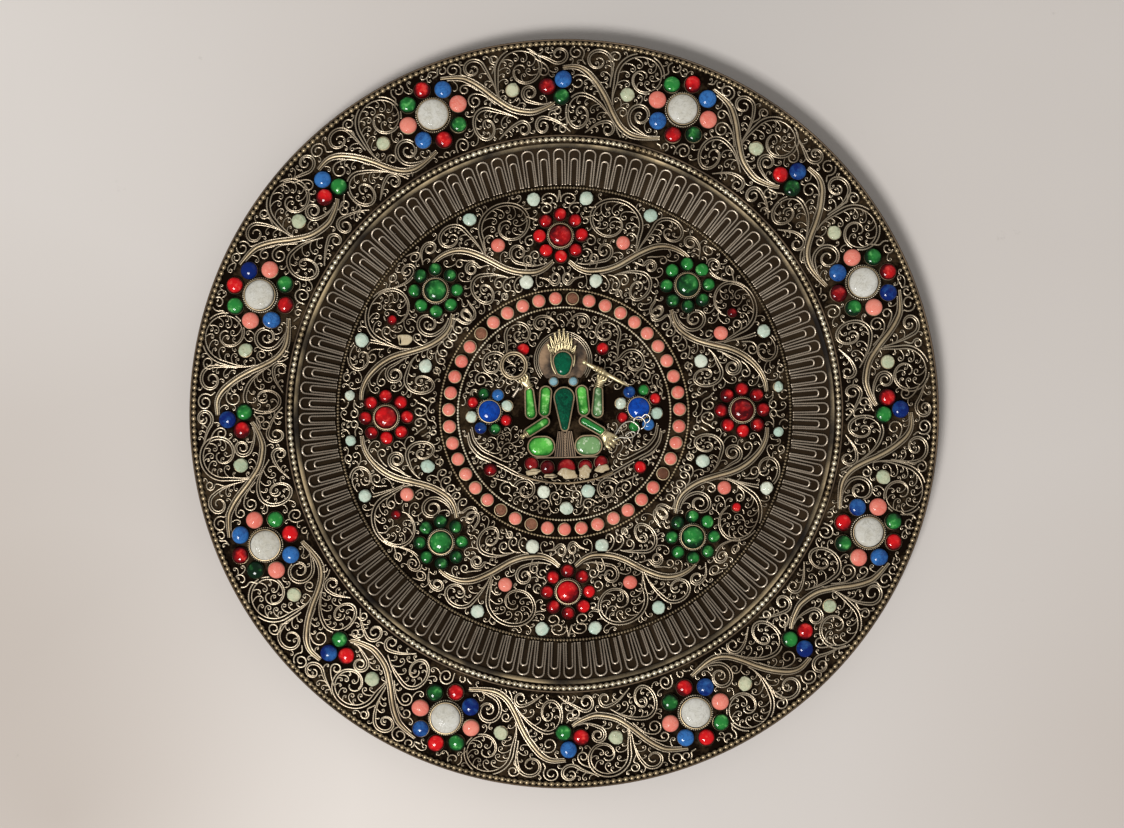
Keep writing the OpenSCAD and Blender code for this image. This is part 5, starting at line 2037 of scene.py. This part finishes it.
@dataclass
class Figure(Zone):
    """The seated figure of flat stones, what its hands hold, and its seat."""

    wall: float = 3.4
    strip: float = 0.5
    gap: float = 0.08
    halo_r: float = 12.0
    halo_y: float = 21.8
    halo_t: float = 1.0
    halo_cut: float = 14.6
    head: Limb = Limb((-0.1, 21.4), (-0.1, 18.4), 3.65, 2.75)
    torso: Limb = Limb((0.1, 6.7), (0.1, -5.4), 3.75, 1.25)
    upper_arm: Limb = Limb((7.3, 9.0), (8.0, 1.3), 2.0, 1.9)
    fore_arm: Limb = Limb((14.0, 9.2), (13.5, 0.4), 1.4, 1.9)
    lower_arm: Limb = Limb((7.9, -3.1), (14.8, -7.3), 1.5, 1.4)
    knee: Limb = Limb((8.2, -13.1), (11.0, -13.1), 3.7, 3.7)
    shoulder_r: float = 1.8
    shoulders: tuple[Point, ...] = ((4.0, 13.2), (-4.0, 13.2))
    seat: tuple[Disc, ...] = ((-13.7, -20.2, 2.8), (-7.3, -21.6, 2.8), (0.5, -22.0, 3.5), (8.2, -21.6, 2.8),
                              (14.6, -20.2, 2.8))
    crown_tips: tuple[Point, ...] = ((-6.1, 28.2), (-5.0, 31.2), (-3.2, 32.6), (-1.4, 33.9), (0.5, 34.2),
                                     (2.2, 32.4), (3.6, 30.2), (5.0, 27.2))
    held_lift: float = 4.0

    @property
    def floor(self) -> float:
        """Height of the floor's face."""
        return self.dish.floor_z

    def pairs(self, *limbs: Limb) -> list[Limb]:
        """Gives limbs and their mirrored partners."""
        return [side for limb in limbs for side in (limb, limb.mirrored())]

    def body(self) -> list[Limb]:
        """Gives every limb below the head."""
        return [self.torso] + self.pairs(self.upper_arm, self.fore_arm, self.lower_arm, self.knee)

    def seats(self, large: bool) -> list[Point]:
        """Middles of the large seat stone, or of the small ones."""
        return [(x, y) for x, y, radius in self.seat if (radius > 3) == large]

    def covers(self) -> list[Disc]:
        """Gives round places that together cover the figure, for wires to stop at.

        Returns:
            The middle and the radius of each.
        """
        discs = [(0.0, self.halo_y, 12.5), (0.0, 13.4, 5.6), (0.0, -8.6, 3.6), (0.0, -12.0, 4.4),
                 (0.0, -15.8, 5.2)]
        for limb in self.body():
            for share in np.linspace(0, 1, 5):
                discs.append((limb.first[0] + share * (limb.last[0] - limb.first[0]),
                              limb.first[1] + share * (limb.last[1] - limb.first[1]),
                              limb.first_r + share * (limb.last_r - limb.first_r) + 1.0))
        discs += [(x, y, radius + 1.6) for x, y, radius in self.seat]
        for x, y, radius in ((10.6, 5.0, 2.4), (4.4, -3.0, 3.0), (18.4, 7.0, 3.1), (18.4, 3.0, 3.1),
                             (18.4, -1.0, 3.1), (11.0, -1.6, 1.6)):
            discs += [(-x, y, radius), (x, y, radius)]
        return discs

    def build(self) -> None:
        """Builds the figure from back to front."""
        self.halo()
        self.stones()
        self.walls()
        self.crown()
        self.robe()
        self.hands()
        self.bead_ring()
        self.rod()
        self.loops()
        self.loose()
        self.base()

    def stones(self) -> None:
        """Cuts the flat stones of the body and sets the two on the shoulders."""
        bright = self.pairs(self.upper_arm) + [self.fore_arm.mirrored(), self.lower_arm.mirrored()]
        for name, limbs, finish, node in (
                ("head_stone", [self.head], "deep_green", "figure_head_stone"),
                ("torso_stone", [self.torso], "deep_green", "figure_torso_stone"),
                ("arm_stones", bright, "figure_green", "figure_arm_stones"),
                ("misty_arm_stone", [self.fore_arm], "misty_green", "figure_arm_stones"),
                ("dark_arm_stone", [self.lower_arm], "green_glass", "figure_arm_stones"),
                ("left_knee_stone", [self.knee.mirrored()], "figure_green", "figure_knee_stones"),
                ("right_knee_stone", [self.knee], "misty_green", "figure_knee_stones")):
            bench = Bench()
            for limb in limbs:
                low = self.floor + 0.4 + (self.halo_t if limb is self.head else 0.0)
                bench.pillow(limb.outline(0.0), low, self.wall - 0.6, 0.9, min(limb.first_r, limb.last_r))
            self.piece(name, bench.mesh(50.0), finish, node)
        setter = StoneSetter(self.palette, self.floor, self.chance)
        setter.stones("shoulder_stones", [(Cabochon(self.shoulder_r, 3.2, 0.6), self.shoulders)],
                      "shoulder_stone", "figure_shoulder_stones")

    def walls(self) -> None:
        """Bends the strips around the stones."""
        bench = Bench()
        grow = self.gap + self.strip
        for limb in self.body():
            bench.cup(limb.outline(grow), self.floor + 0.02, self.wall - 0.02, self.strip, 0.3)
        bench.cup(self.head.outline(grow), self.floor + self.halo_t, self.wall, self.strip, 0.3)
        for spots, radius in ((self.shoulders, self.shoulder_r), (self.seats(False), 2.7),
                              (self.seats(True), 3.4)):
            master = Bezel(radius, 1.3).master()
            for x, y in spots:
                bench.stamp(master, Matrix.Translation((x, y, self.floor)))
        self.piece("figure_walls", bench.mesh(40.0), "strip_bronze", "figure_cloisons")

    def halo(self) -> None:
        """Builds the worn round plate behind the head, with its ring wires."""
        bench = Bench()
        plate_r = self.halo_r - 2.0
        bench.turn([(0.0, 0.0), (plate_r, 0.0), (plate_r, self.halo_t - 0.15), (plate_r * 0.4, self.halo_t),
                    (0.0, self.halo_t)], 72)
        bmesh.ops.translate(bench.bm, verts=bench.bm.verts, vec=(0, self.halo_y, self.floor))
        whole = bench.bm.verts[:] + bench.bm.edges[:] + bench.bm.faces[:]
        cut = bmesh.ops.bisect_plane(bench.bm, geom=whole, plane_co=(0, self.halo_cut, 0),
                                     plane_no=(0, -1, 0), clear_outer=True)
        edges = [e for e in cut["geom_cut"] if isinstance(e, bmesh.types.BMEdge)]
        bmesh.ops.holes_fill(bench.bm, edges=edges)
        self.piece("halo_plate", bench.mesh(40.0), "halo_brown", "figure_halo")
        bundle = WireBundle()
        for inset, wire, low in ((0.3, 0.32, -38), (1.1, 0.26, -36), (1.9, 0.32, -34)):
            radius = self.halo_r - inset
            turns = np.radians(np.linspace(low, 180 - low, 170))
            ring = np.column_stack([radius * np.cos(turns), self.halo_y + radius * np.sin(turns)])
            bundle.add(level_line(ring, self.floor + 0.9), wire, 0.1)
        self.piece("halo_wires", bundle.mesh(), "filigree_silver", "figure_halo")

    def crown(self) -> None:
        """Builds the fan of leaf-shaped strips above the head and the two strips beside it."""
        bundle = WireBundle()
        low = self.floor + self.halo_t + 0.7
        share = np.linspace(0, 1, 12)
        for number, tip in enumerate(self.crown_tips):
            foot = np.array([-3.9 + 1.08 * number, 24.2 + 1.1 * math.sin(math.pi * number / 7)])
            way = np.array(tip) - foot
            side = np.array([-way[1], way[0]]) / np.linalg.norm(way)
            rise = low + 1.5 * np.sin(share * 1.5) + 0.3 * (number % 2)
            for bend in (-0.5, 0.5):
                leaf = foot + way * share[:, None] + side * (bend * np.sin(math.pi * share ** 0.8))[:, None]
                bundle.add(np.column_stack([leaf, rise]), 0.42, taper=(1.0, 0.75))
            bundle.add(hoop(tip, 0.3, rise[-1], 6), 0.3, closed=True)
            knot = foot + way * 0.42 + side * self.chance.uniform(-0.5, 0.5)
            bundle.add(hoop(knot, 0.42, low + 1.7, 8), 0.27, closed=True)
        for strip in (((-4.9, 24.4), (-4.85, 21.2), (-4.2, 18.4), (-3.1, 16.2)),
                      ((4.7, 23.6), (4.6, 21.2), (4.1, 19.0))):
            line = level_line(through(strip, 6), self.floor + self.wall + 0.6)
            bundle.add(line, 0.42, taper=(0.7, 1.0, 0.6))
        self.piece("crown_leaves", bundle.mesh(), "worn_gilt", "figure_crown")

    def robe(self) -> None:
        """Builds the pleated robe between the knees."""
        high = -7.2
        bench = Bench()
        outline = [(-4.5, -17.6), (4.7, -17.6), (2.9, high), (-2.7, high)]
        bench.pillow(outline, self.floor + 0.02, 1.2, 0.35, 1.6)
        self.piece("robe_plate", bench.mesh(30.0), "robe_dark", "figure_robe")
        bundle = WireBundle()
        middle = 0.1
        for share in (-0.95, -0.72, -0.49, -0.27, 0.27, 0.49, 0.72, 0.95):
            pleat = np.array([[middle + share * 2.8, high], [middle + share * 4.5, -17.5]])
            bundle.add(level_line(evenly(pleat, 0.4), self.floor + 1.7), 0.24, 0.1)
        for k in range(9):
            bundle.add(hoop((middle, -8.4 - k * 1.05), 0.4, self.floor + 1.9, 7), 0.25, closed=True)
        bar = np.array([[-13.6, -17.7], [15.4, -17.7]])
        bundle.add(level_line(evenly(bar, 0.6), self.floor + 0.8), 0.42, 0.08)
        self.piece("robe_pleats", bundle.mesh(), "robe_bronze")

    def hands(self) -> None:
        """Casts the four hands."""
        palms = Bench()
        fingers = WireBundle(8)
        for wrist, tip, wide in (((-14.4, 11.6), (-17.2, 16.0), 2.0), ((14.5, 11.6), (16.3, 16.0), 2.0),
                                 ((16.3, -8.9), (20.3, -13.0), 2.9), ((-15.9, -8.2), (-17.9, -9.4), 0.95)):
            self.hand(palms, fingers, np.array(wrist), np.array(tip), wide)
        self.piece("hand_palms", palms.mesh(60.0), "worn_gilt", "figure_hands")
        self.piece("hand_fingers", fingers.mesh(), "worn_gilt")

    def hand(self, palms: Bench, fingers: WireBundle, wrist: Line, tip: Line, wide: float) -> None:
        """Casts one hand: a palm, four fingers, a thumb and two cuffs.

        Args:
            palms: the bench of the palms.
            fingers: the wires of the fingers and cuffs.
            wrist: where the hand starts.
            tip: where its fingers end.
            wide: half of its width.
        """
        far = float(np.linalg.norm(tip - wrist))
        way = (tip - wrist) / far
        side = np.array([-way[1], way[0]])
        palm = Limb(tuple(wrist), tuple(wrist + way * far * 0.5), wide * 0.66, wide)
        palms.pillow(palm.outline(0.0), self.floor + 0.05, 3.1, 0.85, wide * 0.7)
        bends = []
        for k in range(4):
            shift = (k - 1.5) * wide * 0.54
            root = wrist + way * far * 0.45 + side * shift
            end = root + way * (far * 0.62 - 0.25 * abs(k - 1.4)) + side * shift * 0.1
            bends.append(((root, (root + end) / 2, end), (3.6, 4.2, 3.3), 0.27))
        thumb = wrist + way * far * 0.3
        bends.append(((thumb, thumb + way * far * 0.3 - side * wide * 0.9,
                       thumb + way * far * 0.6 - side * wide * 0.8), (3.7, 4.2, 4.2), 0.25))
        for spots, heights, thick in bends:
            bend = np.column_stack([np.array(spots), self.floor + np.array(heights)])
            fingers.add(through(bend, 5), wide * thick, taper=(1.0, 0.8))
        arch = np.linspace(0, math.pi, 12)
        for back in (0.2, 0.95):
            cuff = wrist - way * back + side * (wide * 0.3 + 1.1) * np.cos(arch)[:, None]
            fingers.add(np.column_stack([cuff, self.floor + 2.0 + 2.1 * np.sin(arch)]), 0.38)

    def bead_ring(self) -> None:
        """Builds the double ring of beads in the upper left hand."""
        bundle = WireBundle(8)
        for radius, wire, lift in ((5.35, 0.42, 0.7), (4.45, 0.4, 0.9)):
            ring = hoop((-20.0, 19.9), radius, self.floor + self.held_lift + lift, 72, 1.03)
            bundle.add(ring, wire, 0.08, True)
        self.piece("bead_ring", bundle.mesh(), "stem_silver", "figure_bead_ring")

    def rod(self) -> None:
        """Turns the rod in the upper right hand."""
        bench = Bench()
        bench.turn([(0.0, 0.0), (0.8, 0.1), (1.1, 0.7), (1.0, 1.5), (0.7, 1.8), (0.72, 2.6), (0.9, 4.4),
                    (1.1, 5.6), (0.8, 6.0), (1.35, 6.5), (1.4, 7.0), (1.05, 7.4), (1.5, 7.9), (1.55, 8.5),
                    (1.1, 8.9), (1.35, 9.4), (1.35, 9.9), (0.95, 10.3), (0.88, 12.6), (0.8, 16.0),
                    (0.74, 18.8), (0.5, 19.6), (0.34, 21.2), (0.0, 21.7)], 16)
        place = (Matrix.Translation((7.8, 21.1, self.floor + self.held_lift + 0.9))
                 @ Matrix.Rotation(math.radians(-29.5), 4, "Z") @ Matrix.Rotation(math.radians(90), 4, "Y"))
        bmesh.ops.transform(bench.bm, matrix=place, verts=bench.bm.verts)
        self.piece("rod", bench.mesh(50.0), "worn_gilt", "figure_rod")

    def loops(self) -> None:
        """Bends the looped wire in the lower right hand."""
        bundle = WireBundle(8)
        loops = (((20.6, -8.9), (22.8, -5.6), (24.8, -4.1), (27.1, -3.7), (29.0, -4.8), (30.2, -6.3),
                  (30.0, -7.5), (29.4, -8.8)),
                 ((28.1, -3.6), (28.7, -2.4), (30.1, -1.9), (31.6, -2.5), (32.7, -4.2), (32.2, -6.0),
                  (30.9, -6.9)),
                 ((31.5, -2.1), (32.4, -1.2), (33.6, -1.1), (34.6, -2.1), (34.4, -3.5), (33.3, -4.4)),
                 ((19.6, -11.2), (22.3, -10.1), (25.0, -10.3), (27.4, -10.0), (28.5, -8.8), (27.8, -7.9),
                  (26.2, -8.2), (24.5, -9.4)))
        for number, loop in enumerate(loops):
            line = through(loop, 6)
            low = self.floor + self.held_lift + 0.3 + 0.35 * number
            rise = low + 0.5 * np.sin(np.linspace(0, math.pi, len(line)))
            bundle.add(np.column_stack([line, rise]), 0.27, taper=(1.0, 1.0, 0.8))
        self.piece("looped_wire", bundle.mesh(), "bright_wire", "figure_looped_wire")

    def loose(self) -> None:
        """Lays the two loose bits of wire."""
        bundle = WireBundle()
        stub = np.array([[-20.8, 7.2, self.floor + 1.2], [-18.2, 10.8, self.floor + 1.6]])
        bundle.add(evenly(stub, 0.45), 0.62, 0.2)
        prong = np.array([[15.0, 22.9, self.floor + 2.6], [14.9, 19.8, self.floor + 2.9]])
        bundle.add(evenly(prong, 0.4), 0.36, taper=(1.0, 0.5))
        self.piece("loose_wires", bundle.mesh(), "wall_silver")

    def base(self) -> None:
        """Builds the seat: red stones, their plaster tips and the boat-shaped strip."""
        setter = StoneSetter(self.palette, self.floor, self.chance)
        reds = [(Cabochon(3.0, 2.6), self.seats(False)), (Cabochon(3.75, 2.8), self.seats(True))]
        setter.stones("seat_reds", reds, "seat_red", "seat_stones")
        bench = Bench()
        patches = ((-13.2, -23.4, 2.9, 1.3), (-6.2, -25.2, 2.3, 1.0), (0.9, -24.4, 3.9, 2.1),
                   (7.9, -23.8, 2.8, 2.4), (15.0, -22.6, 2.7, 1.7))
        turns = np.linspace(0, 2 * math.pi, 18, endpoint=False)
        for number, (x, y, wide, tall) in enumerate(patches):
            ragged = 1 + 0.17 * np.sin(2 * turns + 1.7 * number) + 0.12 * np.sin(5 * turns + 2.3 * number)
            outline = list(zip(x + wide * ragged * np.cos(turns), y + tall * ragged * np.sin(turns)))
            bench.pillow(outline, self.floor + 0.03, 2.6, 0.55, 0.9)
        self.piece("seat_tips", bench.mesh(45.0), "old_plaster", "seat_petal_tips", slot=Slot.PALE_GILT)
        middle = (0.0, 20.4)
        half_span = 23.5
        count = 40
        step = 2 * half_span / (count - 1)
        outer = ring_places(middle, 49.1, -90 - half_span, step, count)
        inner = ring_places(middle, 48.3, -90 + half_span, -step, count)
        bench.pillow(outer + inner, self.floor + 0.02, 1.6, 0.2, 0.3)
        self.piece("seat_strip_wire", bench.mesh(45.0), "strip_bronze", "seat_strip", slot=Slot.PALE_GILT)


# Stage


@dataclass
class Stage:
    """The pale table, the soft light and the camera straight above, in metres."""

    reach: float = 0.72
    frame_w: float = 0.4502
    sensor_w: float = 36.0
    rim_z: float = 0.0142
    eye: Point = (-0.0009, -0.0001)
    turn: float = -1.2
    table_half: float = 6.0
    table_drop: float = 0.0004
    room: float = 0.27

    def build(self) -> None:
        """Sets up table, light and camera."""
        self.table()
        self.world()
        self.lamps()
        self.camera()
        bpy.context.scene.view_settings.view_transform = "Standard"

    @staticmethod
    def table_paint() -> bpy.types.Material:
        """Builds the table's pale paint, with painted pools of shade and light on it.

        Returns:
            The finished material.
        """
        graph = Graph("table_paint")
        tint = graph.mix(graph.noise(5.0, 3.0), (214, 206, 199), (222, 215, 209))
        # Painted shade and light: each round pool darkens or lightens the table where it lies in shade or
        # in brighter light.
        for spot, reach, shade in (((-0.27, -0.07, 0), 0.17, (176, 160, 144)),
                                   ((-0.1, -0.2, 0), 0.16, (244, 234, 224)),
                                   ((-0.25, 0.18, 0), 0.18, (242, 236, 230)),
                                   ((0.26, -0.16, 0), 0.15, (194, 180, 168)),
                                   ((0.05, 0.19, 0), 0.12, (196, 192, 188)),
                                   ((-0.21, -0.16, 0), 0.12, (166, 150, 136))):
            ends = {0: graph.place(), 1: spot}
            apart = graph.node("ShaderNodeVectorMath", {"operation": "DISTANCE"}, ends, "Value")
            tint = graph.mix((1.0 - apart * (1.0 / reach)).limited() * 0.5, tint, shade)
        scratch = graph.noise(46.0, 6.0, 0.72)
        tint = graph.mix(((scratch - 0.68) * 9.0).limited() * 0.35, tint, (150, 140, 130))
        return graph.surface({"Base Color": tint, "Roughness": 0.55})

    def table(self) -> None:
        """Lays the pale table."""
        bm = bmesh.new()
        bmesh.ops.create_grid(bm, x_segments=2, y_segments=2, size=self.table_half)
        bmesh.ops.translate(bm, verts=bm.verts, vec=(0, 0, -self.table_drop))
        mesh = bpy.data.meshes.new("table")
        bm.to_mesh(mesh)
        bm.free()
        mesh.materials.append(self.table_paint())
        table = bpy.data.objects.new("table", mesh)
        bpy.context.scene.collection.objects.link(table)

    def world(self) -> None:
        """Sets a soft grey room light."""
        world = bpy.data.worlds.new("room")
        world.use_nodes = True
        shade = world.node_tree.nodes["Background"]
        shade.inputs["Color"].default_value = (1.0, 0.985, 0.96, 1.0)
        shade.inputs["Strength"].default_value = self.room
        bpy.context.scene.world = world

    @staticmethod
    def lamps() -> None:
        """Hangs two soft lamps."""
        rows = (("key", (-0.62, -0.86, 2.0), 0.54, 35.0), ("fill", (0.8, 0.75, 1.2), 1.2, 1.4))
        for name, spot, size, power in rows:
            light = bpy.data.lights.new(name, "AREA")
            light.size = size
            light.energy = power
            lamp = bpy.data.objects.new(name, light)
            lamp.location = spot
            lamp.rotation_euler = (-Vector(spot)).to_track_quat("-Z", "Y").to_euler()
            bpy.context.scene.collection.objects.link(lamp)

    def camera(self) -> None:
        """Sets the camera straight above, turned a little."""
        data = bpy.data.cameras.new("camera")
        data.sensor_width = self.sensor_w
        data.lens = self.sensor_w * self.reach / self.frame_w
        camera = bpy.data.objects.new("camera", data)
        camera.location = (*self.eye, self.rim_z + self.reach)
        camera.rotation_euler = (0.0, 0.0, math.radians(self.turn))
        bpy.context.scene.collection.objects.link(camera)
        bpy.context.scene.camera = camera


def main() -> None:
    """Builds the plate piece by piece, then its stage."""
    logging.basicConfig(level=logging.INFO, format="%(name)s: %(message)s")
    chance = random.Random(27)
    palette = Palette.of_the_plate()
    dish = Dish()
    dish.build(palette)
    rim, floor = dish.rim_z, dish.floor_z
    for wire in (
            BeadedWire("outer_beads", "rim_outer_beaded_wire", 148.13, 1.9, 375, rim, "edge_beads"),
            BeadedWire("inner_beads", "rim_inner_beaded_wire", 109.8, 2.0, 280, rim),
            BeadedWire("floor_beads", "floor_edge_beaded_wire", 92.18, 1.4, 438, floor,
                       "floor_bead_bronze"),
            BeadedWire("ring_outer_beads", "coral_ring_outer_wire", 50.65, 1.05, 247, floor, "edge_beads"),
            BeadedWire("ring_inner_beads", "coral_ring_inner_wire", 43.35, 1.0, 226, floor)):
        wire.build(palette, chance)
    plain = WireBundle()
    plain.add(hoop((0.0, 0.0), 111.37, rim + 0.45, 700), 0.45, 0.08, True)
    publish("plain_ring", plain.mesh(), palette["edge_bronze"], "rim_inner_plain_wire")
    Wall(dish).build(palette, chance)
    Rim(dish, palette, chance).build()
    Floor(dish, palette, chance).build()
    figure = Figure(dish, palette, chance)
    Medallion(dish, palette, chance, figure.covers()).build()
    figure.build()
    Stage().build()


if __name__ == "__main__":
    main()
